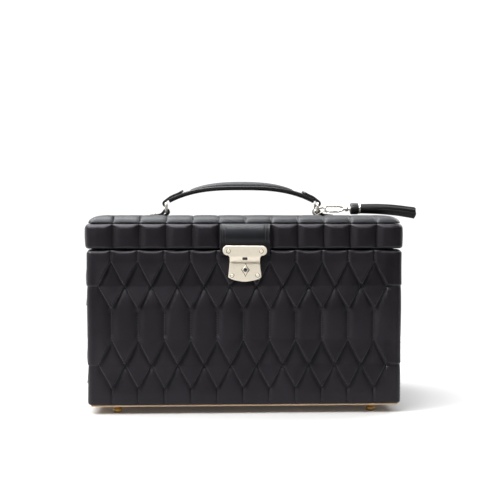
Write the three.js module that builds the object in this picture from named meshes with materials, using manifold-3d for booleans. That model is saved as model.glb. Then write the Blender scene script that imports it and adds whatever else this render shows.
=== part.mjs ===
// A quilted leather jewellery case: a wooden box and lid under padded covers, with a strap handle on two rings,
// a key lock with a leather hasp, a clip-on tassel, stop hinges, and a lined inside with a mirror and trays.
// Millimetres. +X is the case's right as seen from the front, -Y the front, +Z up, and the floor is z = 0.
// The pieces are drawn round the middle of the case, and the whole group is then moved so that its origin is
// the middle of the footprint with the tassel included.

import * as THREE from "three";
import { mergeVertices } from "three/addons/utils/BufferGeometryUtils.js";
import Module from "manifold-3d";

const wasm = await Module();
wasm.setup();

// ---- Driving dimensions ----

const caseWidth = 330;
const caseDepth = 205;
const footHeight = 8;
const bodyTop = 173;
const lidBottom = 174;
const skirtTop = 200;
const padTop = 207.6;
const coverThickness = 4;
const wallThickness = 7;
const liningThickness = 1.2;
const gap = 0.3; // between pieces that touch on the real case

const halfWidth = caseWidth / 2;
const halfDepth = caseDepth / 2;
const carcassX = halfWidth - coverThickness - gap;
const carcassY = halfDepth - coverThickness - gap;
const liningX = carcassX - wallThickness - gap;
const liningY = carcassY - wallThickness - gap;
const trayX = liningX - liningThickness - 0.5;
const trayY = liningY - liningThickness - 0.5;

const basePanel = { thickness: 1.7, inset: 2.5 };
const coverBottom = footHeight + basePanel.thickness + gap;
const carcassFloor = 6;
const linedFloor = coverBottom + carcassFloor + gap;

const hinge = { x: 95, y: halfDepth + 2.5, z: 173.5, length: 40, leafHeight: 12, leaf: 1.2, knuckle: 2.2 };
const lock = { plateTop: 166, plateBottom: 140.2, keyZ: 152, caseX: 15, front: -halfDepth - 3.9, plate: 1.2 };
const hasp = { hingeZ: 178.5, top: 177.3, bottom: 160.9, thickness: 1.4, earX: 18, earZ: 172.4, earRadius: 4.9 };
const cam = { front: -halfDepth - 2.3, thickness: 0.8, reach: 12.3 };
const hook = { lip: cam.front + cam.thickness + gap, back: -halfDepth - 0.5, bottom: 162.3, top: 166.3 };
const tab = { halfWidth: 25.8, leather: 2, back: -halfDepth - gap, top: 199.4, bottom: 166.5 };
const ring = { x: 85, lowZ: 212.4, highZ: 222, halfWidth: 13.5, wire: 1.2, corner: 2.5 };
const strap = { halfWidth: 9.5, underMid: 237, drop: 15.7, endX: 84.6, power: 2.9, thickness: 4.6 };
const loop = { outer: 3.1, bore: 1.8, thickness: 1.5 };
const tassel = { y: -10.9, z: 216, postZ: 215.2, capStart: 122.5, capEnd: 131.4, fringeStart: 133.8, fringeEnd: 196 };

// ---- Shaping helpers ----

const X = new THREE.Vector3(1, 0, 0);
const Y = new THREE.Vector3(0, 1, 0);
const Z = new THREE.Vector3(0, 0, 1);

// A closed geometry as a solid that can be joined and cut.
function solid(geometry) {
  const bare = geometry.index ? geometry.toNonIndexed() : geometry.clone();
  bare.deleteAttribute("normal");
  bare.deleteAttribute("uv");
  const merged = mergeVertices(bare, 1e-4);
  return new wasm.Manifold(
    new wasm.Mesh({
      numProp: 3,
      vertProperties: new Float32Array(merged.getAttribute("position").array),
      triVerts: new Uint32Array(merged.index.array),
    }),
  );
}

function geometryOf(made) {
  const mesh = made.getMesh();
  const geometry = new THREE.BufferGeometry();
  geometry.setAttribute("position", new THREE.BufferAttribute(mesh.vertProperties, 3));
  geometry.setIndex(new THREE.BufferAttribute(mesh.triVerts, 1));
  return geometry;
}

function cut(geometry, ...tools) {
  return geometryOf(tools.reduce((left, tool) => left.subtract(solid(tool)), solid(geometry)));
}

function join(geometry, ...others) {
  return geometryOf(others.reduce((sum, other) => sum.add(solid(other)), solid(geometry)));
}

function box(x0, x1, y0, y1, z0, z1) {
  const geometry = new THREE.BoxGeometry(x1 - x0, y1 - y0, z1 - z0);
  return geometry.translate((x0 + x1) / 2, (y0 + y1) / 2, (z0 + z1) / 2);
}

// A box centred on x = 0 and y = 0.
function slab(halfX, halfY, z0, z1) {
  return box(-halfX, halfX, -halfY, halfY, z0, z1);
}

const flat = { bevelEnabled: false, curveSegments: 5 };

// A shape drawn in x and y, from z0 up to z1.
function extrudeZ(shape, z0, z1) {
  return new THREE.ExtrudeGeometry(shape, { ...flat, depth: z1 - z0 }).translate(0, 0, z0);
}

// A shape drawn in x and z, from y0 back to y1.
function extrudeY(shape, y0, y1) {
  const geometry = new THREE.ExtrudeGeometry(shape, { ...flat, depth: y1 - y0 });
  return geometry.rotateX(Math.PI / 2).translate(0, y1, 0);
}

// A shape drawn in y and z, from x0 to x1.
function extrudeX(shape, x0, x1) {
  const geometry = new THREE.ExtrudeGeometry(shape, { ...flat, depth: x1 - x0 });
  return geometry.applyMatrix4(new THREE.Matrix4().makeBasis(Y, Z, X)).translate(x0, 0, 0);
}

function roundedRectangle(halfX, halfY, radius) {
  const shape = new THREE.Shape();
  shape.moveTo(halfX, -halfY + radius);
  shape.absarc(halfX - radius, halfY - radius, radius, 0, Math.PI / 2);
  shape.absarc(-halfX + radius, halfY - radius, radius, Math.PI / 2, Math.PI);
  shape.absarc(-halfX + radius, -halfY + radius, radius, Math.PI, 1.5 * Math.PI);
  shape.absarc(halfX - radius, -halfY + radius, radius, 1.5 * Math.PI, 2 * Math.PI);
  return shape;
}

function circle(cx, cy, radius) {
  const shape = new THREE.Shape();
  shape.absarc(cx, cy, radius, 0, 2 * Math.PI);
  return shape;
}

function polygon(points) {
  return new THREE.Shape(points.map(([x, y]) => new THREE.Vector2(x, y)));
}

// A round bar along one axis, between two places on it.
function rodX(radius, x0, x1, y, z, sides = 16) {
  const bar = new THREE.CylinderGeometry(radius, radius, x1 - x0, sides);
  return bar.rotateZ(Math.PI / 2).translate((x0 + x1) / 2, y, z);
}

function rodY(radius, y0, y1, x, z, sides = 16) {
  return new THREE.CylinderGeometry(radius, radius, y1 - y0, sides).translate(x, (y0 + y1) / 2, z);
}

// A closed skin through rings of points that all have the same count, with a fan over each end.
function loft(rings) {
  const count = rings[0].length;
  const points = rings.flat();
  const centre = (row) => row.reduce((sum, p) => sum.add(p), new THREE.Vector3()).divideScalar(count);
  points.push(centre(rings[0]), centre(rings.at(-1)));
  const faces = [];
  for (let i = 0; i < count; i++) {
    const next = (i + 1) % count;
    for (let r = 0; r + 1 < rings.length; r++) {
      const low = r * count;
      const high = low + count;
      faces.push(low + i, low + next, high + next, low + i, high + next, high + i);
    }
    const last = (rings.length - 1) * count;
    faces.push(points.length - 2, next, i);
    faces.push(points.length - 1, last + i, last + next);
  }
  const geometry = new THREE.BufferGeometry().setFromPoints(points);
  geometry.setIndex(faces);
  return geometry;
}

// Rings round the x axis: each station is [x, centre y, centre z, half width, half height].
function loftX(stations, sides = 14) {
  return loft(
    stations.map(([x, y, z, wide, high]) =>
      Array.from({ length: sides }, (_, i) => {
        const turn = (2 * Math.PI * i) / sides;
        return new THREE.Vector3(x, y + wide * Math.cos(turn), z + high * Math.sin(turn));
      }),
    ),
  );
}

// Rounded rectangles stacked in z: each level is [z, half x, half y, corner radius].
function loftZ(levels) {
  return loft(
    levels.map(([z, halfX, halfY, radius]) =>
      roundedRectangle(halfX, halfY, radius)
        .getPoints(4)
        .slice(0, -1)
        .map((p) => new THREE.Vector3(p.x, p.y, z)),
    ),
  );
}

// A round wire along a closed flat loop of points in y and z, at one x.
function wireLoop(path, x, radius, sides = 8) {
  const points = [];
  path.forEach(([y, z], i) => {
    const before = path[(i + path.length - 1) % path.length];
    const after = path[(i + 1) % path.length];
    const along = new THREE.Vector2(after[0] - before[0], after[1] - before[1]).normalize();
    for (let s = 0; s < sides; s++) {
      const turn = (2 * Math.PI * s) / sides;
      const out = radius * Math.cos(turn);
      const point = new THREE.Vector3(x + radius * Math.sin(turn), y + out * along.y, z - out * along.x);
      points.push(point);
    }
  });
  const faces = [];
  path.forEach((_, i) => {
    const here = i * sides;
    const there = ((i + 1) % path.length) * sides;
    for (let s = 0; s < sides; s++) {
      const next = (s + 1) % sides;
      faces.push(here + s, there + s, there + next, here + s, there + next, here + next);
    }
  });
  const geometry = new THREE.BufferGeometry().setFromPoints(points);
  geometry.setIndex(faces);
  return geometry;
}

// ---- Finishes ----

const finishes = {
  quiltedLeather: { color: 0x1b1a1d, roughness: 0.42, metalness: 0 },
  smoothLeather: { color: 0x18181b, roughness: 0.36, metalness: 0 },
  paleGold: { color: 0xd9c79a, roughness: 0.3, metalness: 1 },
  steel: { color: 0x9a9a9c, roughness: 0.4, metalness: 1 },
  wood: { color: 0xb08a5c, roughness: 0.7, metalness: 0 },
  tanBase: { color: 0xb59a74, roughness: 0.8, metalness: 0 },
  suede: { color: 0xb3a28c, roughness: 0.95, metalness: 0 },
  mirror: { color: 0xdfe3e6, roughness: 0.03, metalness: 1 },
};

const jewelleryCase = new THREE.Group();

function piece(name, geometry, finish) {
  const mesh = new THREE.Mesh(geometry, new THREE.MeshStandardMaterial(finishes[finish]));
  mesh.name = name;
  jewelleryCase.add(mesh);
  return mesh;
}

// ---- Covers of the body and the lid ----

// A front or back cover with its two outer corners rounded, drawn in x and y. side is -1 at the front.
function facePlate(side) {
  const radius = coverThickness - 0.1;
  const inner = halfDepth - coverThickness;
  const shape = new THREE.Shape();
  shape.moveTo(-halfWidth, inner);
  shape.lineTo(halfWidth, inner);
  shape.absarc(halfWidth - radius, halfDepth - radius, radius, 0, Math.PI / 2);
  shape.absarc(-halfWidth + radius, halfDepth - radius, radius, Math.PI / 2, Math.PI);
  return { shape, turn: side < 0 ? Math.PI : 0 };
}

function faceCover(side, z0, z1) {
  const { shape, turn } = facePlate(side);
  return extrudeZ(shape, z0, z1).rotateZ(turn);
}

function sideCover(side, z0, z1) {
  const inner = side * (halfWidth - coverThickness);
  const outer = side * halfWidth;
  return box(Math.min(inner, outer), Math.max(inner, outer), -carcassY, carcassY, z0, z1);
}

const lockPocket = box(
  -lock.caseX - gap, lock.caseX + gap, -halfDepth - 1, -carcassY + 1.5, 141.7, lock.plateTop + gap,
);

function coverBody() {
  const top = bodyTop - 0.2;
  piece("front_quilt", cut(faceCover(-1, coverBottom, top), lockPocket), "quiltedLeather");
  piece("back_quilt", faceCover(1, coverBottom, top), "quiltedLeather");
  piece("left_quilt", sideCover(-1, coverBottom, top), "quiltedLeather");
  piece("right_quilt", sideCover(1, coverBottom, top), "quiltedLeather");
}

function coverLid() {
  piece("lid_front_quilt", faceCover(-1, lidBottom, skirtTop), "quiltedLeather");
  piece("lid_back_quilt", faceCover(1, lidBottom, skirtTop), "quiltedLeather");
  piece("lid_left_quilt", sideCover(-1, lidBottom, skirtTop), "quiltedLeather");
  piece("lid_right_quilt", sideCover(1, lidBottom, skirtTop), "quiltedLeather");
  // The pad's edges slope in and round over into its flat top.
  const pad = [
    [skirtTop + gap, 2.2, 4],
    [skirtTop + 2.6, 2.8, 5],
    [padTop - 1.6, 8, 8],
    [padTop - 0.4, 12, 10],
    [padTop, 16, 12],
  ];
  const levels = pad.map(([z, inset, radius]) => [z, halfWidth - inset, halfDepth - inset, radius]);
  piece("lid_top_pad", loftZ(levels), "quiltedLeather");
}

// ---- Carcasses, base and linings ----

function buildBody() {
  const shell = cut(
    slab(carcassX, carcassY, coverBottom, bodyTop - 0.6),
    slab(carcassX - wallThickness, carcassY - wallThickness, coverBottom + carcassFloor, bodyTop + 1),
    lockPocket,
  );
  piece("body_carcass", shell, "wood");
  const baseX = halfWidth - basePanel.inset;
  const baseY = halfDepth - basePanel.inset;
  const base = extrudeZ(roundedRectangle(baseX, baseY, 3), footHeight, coverBottom - gap);
  piece("base_panel", base, "tanBase");
  const lining = cut(
    slab(liningX, liningY, linedFloor, bodyTop - 0.8),
    slab(liningX - liningThickness, liningY - liningThickness, linedFloor + liningThickness, bodyTop + 1),
  );
  piece("body_lining", lining, "suede");
}

function buildFeet() {
  const profile = [[0, 0], [3.6, 0], [4.8, 0.9], [5.2, 2.6], [4.4, 4.6], [3.4, 5.4], [3.4, footHeight - gap]];
  const outline = [...profile, [0, footHeight - gap]].map(([r, z]) => new THREE.Vector2(r, z));
  for (const [end, y] of [["front", -86], ["back", 86]])
    for (const [side, x] of [["left", -135], ["right", 135]]) {
      const foot = new THREE.LatheGeometry(outline, 18).rotateX(Math.PI / 2);
      piece(`foot_${end}_${side}`, foot.translate(x, y, 0), "paleGold");
    }
}

function buildLid() {
  const panelBottom = skirtTop - gap - 6;
  const shell = cut(
    slab(carcassX, carcassY, lidBottom + 0.6, skirtTop - gap),
    slab(carcassX - wallThickness, carcassY - wallThickness, lidBottom - 1, panelBottom),
  );
  piece("lid_carcass", shell, "wood");
  const liningTop = panelBottom - gap;
  const ceiling = liningTop - liningThickness;
  const lining = cut(
    slab(liningX, liningY, lidBottom + 0.8, liningTop),
    slab(liningX - liningThickness, liningY - liningThickness, lidBottom - 1, ceiling),
  );
  piece("lid_lining", lining, "suede");
  const frame = cut(
    extrudeZ(roundedRectangle(128, 74, 6), ceiling - gap - 3, ceiling - gap),
    slab(119, 65, ceiling - gap - 2.2, ceiling),
    slab(116.5, 62.5, ceiling - 6, ceiling),
  );
  piece("mirror_frame", frame, "smoothLeather");
  piece("mirror_glass", slab(118.6, 64.6, ceiling - gap - 1.9, ceiling - gap - 0.1), "mirror");
}

// ---- Stop hinges ----

// One leaf: a plate on the back face with knuckles round the pin. up is 1 for the lid's leaf.
function hingeLeaf(centreX, up) {
  const third = hinge.length / 3;
  const edge = hinge.z + up * (hinge.knuckle + gap);
  const far = hinge.z + up * hinge.leafHeight;
  const plateY = halfDepth + gap;
  const x0 = centreX - hinge.length / 2;
  const x1 = centreX + hinge.length / 2;
  const plate = box(x0, x1, plateY, plateY + hinge.leaf, Math.min(edge, far), Math.max(edge, far));
  const spans = up > 0 ? [[x0 + third, x1 - third]] : [[x0, x0 + third - 0.4], [x1 - third + 0.4, x1]];
  const parts = spans.flatMap(([a, b]) => [
    rodX(hinge.knuckle, a, b, hinge.y, hinge.z),
    box(a, b, plateY, plateY + hinge.leaf, Math.min(hinge.z, far), Math.max(hinge.z, far)),
  ]);
  return cut(join(plate, ...parts), rodX(1.3, x0 - 1, x1 + 1, hinge.y, hinge.z));
}

function buildHinges() {
  for (const [side, x] of [["left", -hinge.x], ["right", hinge.x]]) {
    piece(`hinge_body_leaf_${side}`, hingeLeaf(x, -1), "paleGold");
    piece(`hinge_lid_leaf_${side}`, hingeLeaf(x, 1), "paleGold");
    const reach = hinge.length / 2 + 0.5;
    piece(`hinge_pin_${side}`, rodX(0.9, x - reach, x + reach, hinge.y, hinge.z), "paleGold");
  }
}

// ---- Lock, hasp and leather tab ----

// A domed rivet head on the front of a plate.
function rivet(x, z, face, radius = 1.9) {
  const outline = [[0, 0], [radius, 0], [radius, 0.3], [radius * 0.6, 0.75], [0, 0.9]];
  const head = new THREE.LatheGeometry(outline.map(([r, h]) => new THREE.Vector2(r, h)), 12);
  return head.rotateX(Math.PI).translate(x, face, z);
}

function buildLock() {
  const back = lock.front + lock.plate;
  // Room for the hasp's hook to come in from the front and leave upwards with the lid.
  const notch = box(-2.6, 2.6, lock.front - 1, hook.back + gap, hook.bottom - 1.3, lock.plateTop + 1);
  const outline = new THREE.Shape();
  outline.moveTo(-16.2, lock.plateTop);
  outline.lineTo(-15.9, 159.5);
  outline.lineTo(-17.5, 146.5);
  outline.quadraticCurveTo(-17.7, 144, -15.4, 143);
  outline.quadraticCurveTo(0, 2 * lock.plateBottom - 143, 15.4, 143);
  outline.quadraticCurveTo(17.7, 144, 17.5, 146.5);
  outline.lineTo(15.9, 159.5);
  outline.lineTo(16.2, lock.plateTop);
  const keyBore = rodY(2.5, lock.front - 1, back + 1, 0, lock.keyZ);
  piece("lock_plate", cut(extrudeY(outline, lock.front, back), notch, keyBore), "paleGold");
  const caseFront = back + 0.2;
  const caseBack = -carcassY + 1.2;
  const housing = cut(
    box(-lock.caseX, lock.caseX, caseFront, caseBack, 142, lock.plateTop),
    box(-lock.caseX + 1, lock.caseX - 1, caseFront - 1, caseBack - 1, 143, lock.plateTop - 1),
    notch,
  );
  piece("lock_case", housing, "steel");
  for (const [side, x] of [["left", -13.2], ["right", 13.2]])
    piece(`lock_rivet_${side}`, rivet(x, 146.4, lock.front - 0.05), "paleGold");
  const keyway = box(-0.5, 0.5, lock.front - 2, lock.front + 3, lock.keyZ - 1.6, lock.keyZ + 1);
  const barrel = rodY(2.2, lock.front - 0.6, caseBack - 1 - gap, 0, lock.keyZ);
  piece("key_cylinder", cut(barrel, keyway), "steel");
  // The cam points sideways when unlocked; a quarter turn of the key brings its tip up in front of the hook.
  const arm = join(
    extrudeY(circle(0, lock.keyZ, 4.2), cam.front, cam.front + cam.thickness),
    box(-cam.reach, 0, cam.front, cam.front + cam.thickness, lock.keyZ - 1.6, lock.keyZ + 1.6),
  );
  piece("lock_cam", cut(arm, rodY(2.5, cam.front - 1, cam.front + 2, 0, lock.keyZ)), "steel");
}

hasp.front = lock.front - gap - hasp.thickness - 0.1;
hasp.back = hasp.front + hasp.thickness;

// The hasp plate's outline: a bar with round ears over a narrower tongue.
function haspOutline(bottom) {
  const neck = 15.7;
  const under = -1.75; // where the ear's curve meets the neck, in radians
  const shape = new THREE.Shape();
  shape.moveTo(-hasp.earX, hasp.top);
  shape.lineTo(hasp.earX, hasp.top);
  shape.absarc(hasp.earX, hasp.earZ, hasp.earRadius, Math.PI / 2, under, true);
  shape.lineTo(neck, 165.6);
  shape.lineTo(neck, bottom);
  shape.lineTo(-neck, bottom);
  shape.lineTo(-neck, 165.6);
  shape.absarc(-hasp.earX, hasp.earZ, hasp.earRadius, Math.PI - under, Math.PI / 2, true);
  return shape;
}

function buildHasp() {
  const tabFront = tab.back - tab.leather;
  const upper = box(-tab.halfWidth, tab.halfWidth, tabFront, tab.back, hasp.hingeZ + gap, tab.top);
  piece("lock_tab", upper, "smoothLeather");
  const flap = new THREE.Shape();
  flap.moveTo(-tab.halfWidth, hasp.hingeZ - gap);
  flap.lineTo(-tab.halfWidth, tab.bottom + 5);
  flap.absarc(-tab.halfWidth + 5, tab.bottom + 5, 5, Math.PI, 1.5 * Math.PI);
  flap.absarc(tab.halfWidth - 5, tab.bottom + 5, 5, 1.5 * Math.PI, 2 * Math.PI);
  flap.lineTo(tab.halfWidth, hasp.hingeZ - gap);
  piece("hasp_flap", extrudeY(flap, tabFront, tab.back), "smoothLeather");
  const face = extrudeY(haspOutline(hasp.bottom), hasp.front, hasp.back);
  const thick = extrudeY(haspOutline(hasp.bottom), hasp.back - 0.1, tabFront - gap);
  const thickUpper = cut(thick, box(-30, 30, -130, -90, hasp.bottom - 1, lock.plateTop + 0.4));
  const window = box(-2.6, 2.6, hasp.front - 1, hasp.back + 0.5, 162.5, 165.3);
  // The hook behind the plate reaches back over the cam's tip and hangs down behind it.
  const hookTop = box(-1.8, 1.8, hasp.back - 0.1, hook.back, hook.top - 0.8, hook.top);
  const hookLip = box(-1.8, 1.8, hook.lip, hook.back, hook.bottom, hook.top);
  const plate = cut(join(face, thickUpper), window);
  piece("hasp_plate", join(plate, hookTop, hookLip), "paleGold");
  for (const [side, x] of [["left", -16.9], ["right", 16.9]])
    piece(`hasp_rivet_${side}`, rivet(x, 171.3, hasp.front - 0.05), "paleGold");
}

// ---- Handle, rings and chapes ----

// A leather chape: a loop round the ring's lower bar with a tail that runs outwards along the pad.
function chape(side) {
  const low = padTop + gap;
  const { x, lowZ } = ring;
  const shape = new THREE.Shape();
  shape.moveTo(x + 18, low);
  shape.lineTo(x + 18, low + 1.8);
  shape.lineTo(x + 9, low + 2.4);
  shape.quadraticCurveTo(x + 5, low + 3.4, x + loop.outer * 0.87, lowZ + loop.outer * 0.5);
  shape.absarc(x, lowZ, loop.outer, Math.PI / 6, 1.25 * Math.PI);
  shape.lineTo(x - 1.2, low);
  const body = cut(extrudeY(shape, -9, 9), rodY(loop.bore, -10, 10, x, lowZ));
  return side > 0 ? body : body.rotateZ(Math.PI);
}

function ringPath() {
  const middle = (ring.lowZ + ring.highZ) / 2;
  const outline = roundedRectangle(ring.halfWidth, (ring.highZ - ring.lowZ) / 2, ring.corner);
  return outline.getPoints(4).slice(0, -1).map((p) => [p.x, p.y + middle]);
}

// The strap's underside: nearly flat in the middle and falling away towards the rings.
function archZ(x) {
  return strap.underMid - strap.drop * Math.abs(x / strap.endX) ** strap.power;
}

// A band that follows the arch, between two heights above its underside.
function archBand(halfSpan, low, high, steps = 20) {
  const xs = Array.from({ length: steps + 1 }, (_, i) => halfSpan * ((2 * i) / steps - 1));
  const lower = xs.map((x) => [x, archZ(x) + low]);
  const upper = xs.map((x) => [x, archZ(x) + high(x)]).reverse();
  return polygon([...lower, ...upper]);
}

// The strap's folded end: round the ring's upper bar and back along the strap's top to a raised tip.
function foldedEnd(side) {
  const { x, highZ } = ring;
  const outer = loop.bore + loop.thickness;
  const tipX = 65;
  const rise = strap.thickness + gap;
  const stations = [81, 76, 71];
  const shape = new THREE.Shape();
  shape.moveTo(x - 2.4, highZ - outer + 0.9);
  shape.absarc(x, highZ, outer, -2.2, 0.95);
  stations.forEach((s) => shape.lineTo(s, archZ(s) + rise + loop.thickness));
  shape.lineTo(tipX, archZ(tipX) + rise + 2.6);
  shape.lineTo(tipX + 0.6, archZ(tipX) + rise + 1.3);
  stations.reverse().forEach((s) => shape.lineTo(s, archZ(s) + rise));
  shape.lineTo(x - 2.6, highZ + 2);
  const body = cut(
    extrudeY(shape, -strap.halfWidth, strap.halfWidth),
    rodY(loop.bore, -strap.halfWidth - 1, strap.halfWidth + 1, x, highZ),
  );
  return side > 0 ? body : body.rotateZ(Math.PI);
}

function buildHandle() {
  for (const [side, way] of [["left", -1], ["right", 1]]) {
    piece(`chape_${side}`, chape(way), "smoothLeather");
    const screw = new THREE.CylinderGeometry(1.6, 2.4, 1, 12).rotateX(Math.PI / 2);
    const screwZ = padTop + 2 * gap + 2.3 + 0.5;
    piece(`chape_screw_${side}`, screw.translate(way * (ring.x + 14), 0, screwZ), "paleGold");
    piece(`handle_ring_${side}`, wireLoop(ringPath(), way * ring.x, ring.wire), "paleGold");
    piece(`handle_end_${side}`, foldedEnd(way), "smoothLeather");
  }
  const span = ring.x - loop.bore - loop.thickness - 1.2;
  const strapShape = archBand(span, 0, () => strap.thickness);
  piece("handle_strap", extrudeY(strapShape, -strap.halfWidth, strap.halfWidth), "smoothLeather");
  const gripSpan = 58;
  const swell = (x) => strap.thickness + gap + 0.5 + 3.6 * Math.cos((x / gripSpan) * 1.45);
  const gripShape = archBand(gripSpan, strap.thickness + gap, swell, 14);
  piece("handle_grip", extrudeY(gripShape, -7.5, 7.5), "smoothLeather");
}

// ---- Tassel on its clasp ----

function buildTassel() {
  const { x, lowZ } = ring;
  const eye = { inner: 2.9, outer: 4.1 };
  const { y, z, postZ } = tassel;
  // The clasp: a hook round the ring's bar, open at its top, on a body that narrows to the swivel post.
  const claw = new THREE.Shape();
  claw.absarc(x, lowZ, eye.outer, 2.25, 1.75 * Math.PI);
  claw.lineTo(x + 9, 209.4);
  claw.lineTo(x + 20, postZ - 2);
  claw.lineTo(x + 20, postZ + 2);
  claw.lineTo(x + 10.4, 218);
  claw.lineTo(x + 7.6, 217.4);
  claw.lineTo(x + 7.6, 214.6);
  claw.lineTo(x + 3.4, 213.8);
  claw.lineTo(x + 2, lowZ);
  claw.lineTo(x, lowZ);
  const hook = cut(
    extrudeY(claw, y - 1, y + 1),
    rodY(eye.inner, y - 3, y + 3, x, lowZ, 20),
    box(x - 0.5, x + 4, y - 2, y + 2, lowZ + 1, lowZ + 6),
  );
  const post = rodX(1.1, x + 19, x + 26, y, postZ, 12);
  const head = rodX(1.9, x + 25, x + 26.2, y, postZ, 12);
  piece("clasp_hook", join(hook, post, head), "paleGold");
  const lever = polygon([
    [x - 2.1, 215.9], [x + 2, 217.4], [x + 7.2, 218.6], [x + 7.3, 216.4], [x + 3, 215.6], [x - 1.7, 215],
  ]);
  piece("clasp_gate", extrudeY(lever, y - 0.9, y + 0.9), "paleGold");
  // The swivel cup takes the post's head, and the cap closes on the gathered fringe.
  const cup = cut(
    rodX(3, x + 22.4, x + 29, y, postZ, 14),
    rodX(1.5, x + 22, x + 24.3, y, postZ, 12),
    rodX(2.3, x + 24.2, x + 27.4, y, postZ, 12),
  );
  const neck = rodX(1.6, x + 28.5, tassel.capStart + 1, y, postZ + 0.4, 12);
  const cap = rodX(6, tassel.capStart, tassel.capEnd, y, z, 20);
  piece("tassel_cap", join(cup, neck, cap), "smoothLeather");
  piece("tassel_band", rodX(5.2, tassel.capEnd + gap, tassel.fringeStart - gap, y, z, 20), "paleGold");
  const stations = [
    [tassel.fringeStart, 5.6, 5.8, z],
    [144, 6, 5.8, z - 0.1],
    [155, 6.4, 5.8, z - 0.4],
    [165, 6.8, 5.8, z - 1],
    [175, 7.1, 5.8, z - 1.9],
    [186, 7.4, 5.8, z - 3.1],
    [tassel.fringeEnd, 7.5, 5.8, z - 4.4],
  ];
  piece("tassel_fringe", loftX(stations.map(([sx, wide, high, z]) => [sx, y, z, wide, high])), "smoothLeather");
}

// ---- Trays, ring rolls and the well ----

const levels = { wellTop: 88, lowerTop: 131.5, upperTop: 171 };
const wall = 3;

// An open tray: a block with pockets, each [x0, x1, y0, y1], sunk to its floor.
function tray(z0, z1, pockets, floor = 2.5) {
  const tools = pockets.map(([x0, x1, y0, y1]) => box(x0, x1, y0, y1, z0 + floor, z1 + 1));
  return cut(slab(trayX, trayY, z0, z1), ...tools);
}

const inX = trayX - wall;
const inY = trayY - wall;
const rollZone = { x0: -inX, x1: -2, y0: -inY, y1: -2 };
const rollCount = 4;

function buildInside() {
  const wellFloor = linedFloor + liningThickness + gap;
  const wellPockets = [[-inX, -wall / 2, -inY, inY], [wall / 2, inX, -inY, inY]];
  piece("well_insert", tray(wellFloor, levels.wellTop, wellPockets, 2), "suede");
  const lowerPockets = [
    [-inX, -51, -inY, inY],
    [-48, 48, -inY, -wall / 2],
    [-48, 48, wall / 2, inY],
    [51, inX, -inY, inY],
  ];
  piece("lower_tray", tray(levels.wellTop + 0.5, levels.lowerTop, lowerPockets), "suede");
  const upperPockets = [
    [rollZone.x0, rollZone.x1, rollZone.y0, rollZone.y1],
    [-inX, rollZone.x1, rollZone.y1 + wall, inY],
    [rollZone.x1 + wall, inX, -inY, -wall / 2],
    [rollZone.x1 + wall, inX, wall / 2, inY],
  ];
  piece("upper_tray", tray(levels.lowerTop + 0.5, levels.upperTop, upperPockets), "suede");
  const pitch = (rollZone.y1 - rollZone.y0) / rollCount;
  const rollFloor = levels.lowerTop + 0.5 + 2.5 + gap;
  for (let i = 0; i < rollCount; i++) {
    const y = rollZone.y0 + pitch * (i + 0.5);
    const half = pitch / 2 - 0.4;
    const section = new THREE.Shape();
    section.moveTo(y - half, rollFloor);
    section.lineTo(y + half, rollFloor);
    section.lineTo(y + half, levels.upperTop - 2 - half);
    section.absarc(y, levels.upperTop - 2 - half, half, 0, Math.PI);
    piece(`ring_roll_${i + 1}`, extrudeX(section, rollZone.x0 + gap, rollZone.x1 - gap), "suede");
  }
  const cushion = [
    [wellFloor + 2 + gap, 30, 26, 9],
    [wellFloor + 14, 36, 32, 12],
    [wellFloor + 34, 36, 32, 12],
    [wellFloor + 46, 28, 24, 9],
  ];
  piece("watch_cushion", loftZ(cushion).translate(-76, 0, 0), "suede");
}

coverBody();
coverLid();
buildBody();
buildFeet();
buildLid();
buildHinges();
buildLock();
buildHasp();
buildHandle();
buildTassel();
buildInside();

// The footprint runs from the left side to the fringe's end, and from the hasp's rivets to the hinge knuckles.
const rightEnd = tassel.fringeEnd;
const frontEnd = hasp.front - 0.95;
const backEnd = hinge.y + hinge.knuckle;
jewelleryCase.position.set((halfWidth - rightEnd) / 2, -(frontEnd + backEnd) / 2, 0);

export default jewelleryCase;
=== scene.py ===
import math

import bmesh
import bpy
import numpy as np
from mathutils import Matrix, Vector


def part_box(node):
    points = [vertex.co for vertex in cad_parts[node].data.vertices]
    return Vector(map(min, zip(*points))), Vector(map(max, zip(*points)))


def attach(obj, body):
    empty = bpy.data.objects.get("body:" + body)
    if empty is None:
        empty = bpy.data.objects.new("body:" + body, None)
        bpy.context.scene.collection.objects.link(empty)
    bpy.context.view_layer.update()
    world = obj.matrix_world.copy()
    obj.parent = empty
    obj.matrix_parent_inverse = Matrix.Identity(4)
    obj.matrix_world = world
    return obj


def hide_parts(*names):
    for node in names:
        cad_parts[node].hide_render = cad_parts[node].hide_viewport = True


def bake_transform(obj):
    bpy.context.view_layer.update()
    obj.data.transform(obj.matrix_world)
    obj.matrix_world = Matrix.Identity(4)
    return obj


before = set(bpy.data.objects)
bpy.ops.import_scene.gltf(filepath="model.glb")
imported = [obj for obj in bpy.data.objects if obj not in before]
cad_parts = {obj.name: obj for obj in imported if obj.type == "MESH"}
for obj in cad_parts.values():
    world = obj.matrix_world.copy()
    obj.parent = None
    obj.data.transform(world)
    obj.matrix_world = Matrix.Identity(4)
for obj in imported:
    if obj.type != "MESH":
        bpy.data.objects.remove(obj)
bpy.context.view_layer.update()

# Everything below is worked out in millimetres round the middle of the case, with the floor at z = 0,
# and moved into the frame (metres) when a mesh is made.
millimetre = 0.001
carcassLow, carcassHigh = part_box("body_carcass")
caseMid = np.array([(carcassLow.x + carcassHigh.x) / 2, (carcassLow.y + carcassHigh.y) / 2, 0.0])
right, back, up = np.eye(3)


# A node's lowest and highest corner, in millimetres round the case's middle.
def span(node):
    low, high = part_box(node)
    return (np.array(low) - caseMid) / millimetre, (np.array(high) - caseMid) / millimetre


frontLow, frontHigh = span("front_quilt")
lidLow, lidHigh = span("lid_front_quilt")
padBottom = span("lid_top_pad")[0][2]
halfWidth = frontHigh[0]
halfDepth = -frontLow[1]


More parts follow.
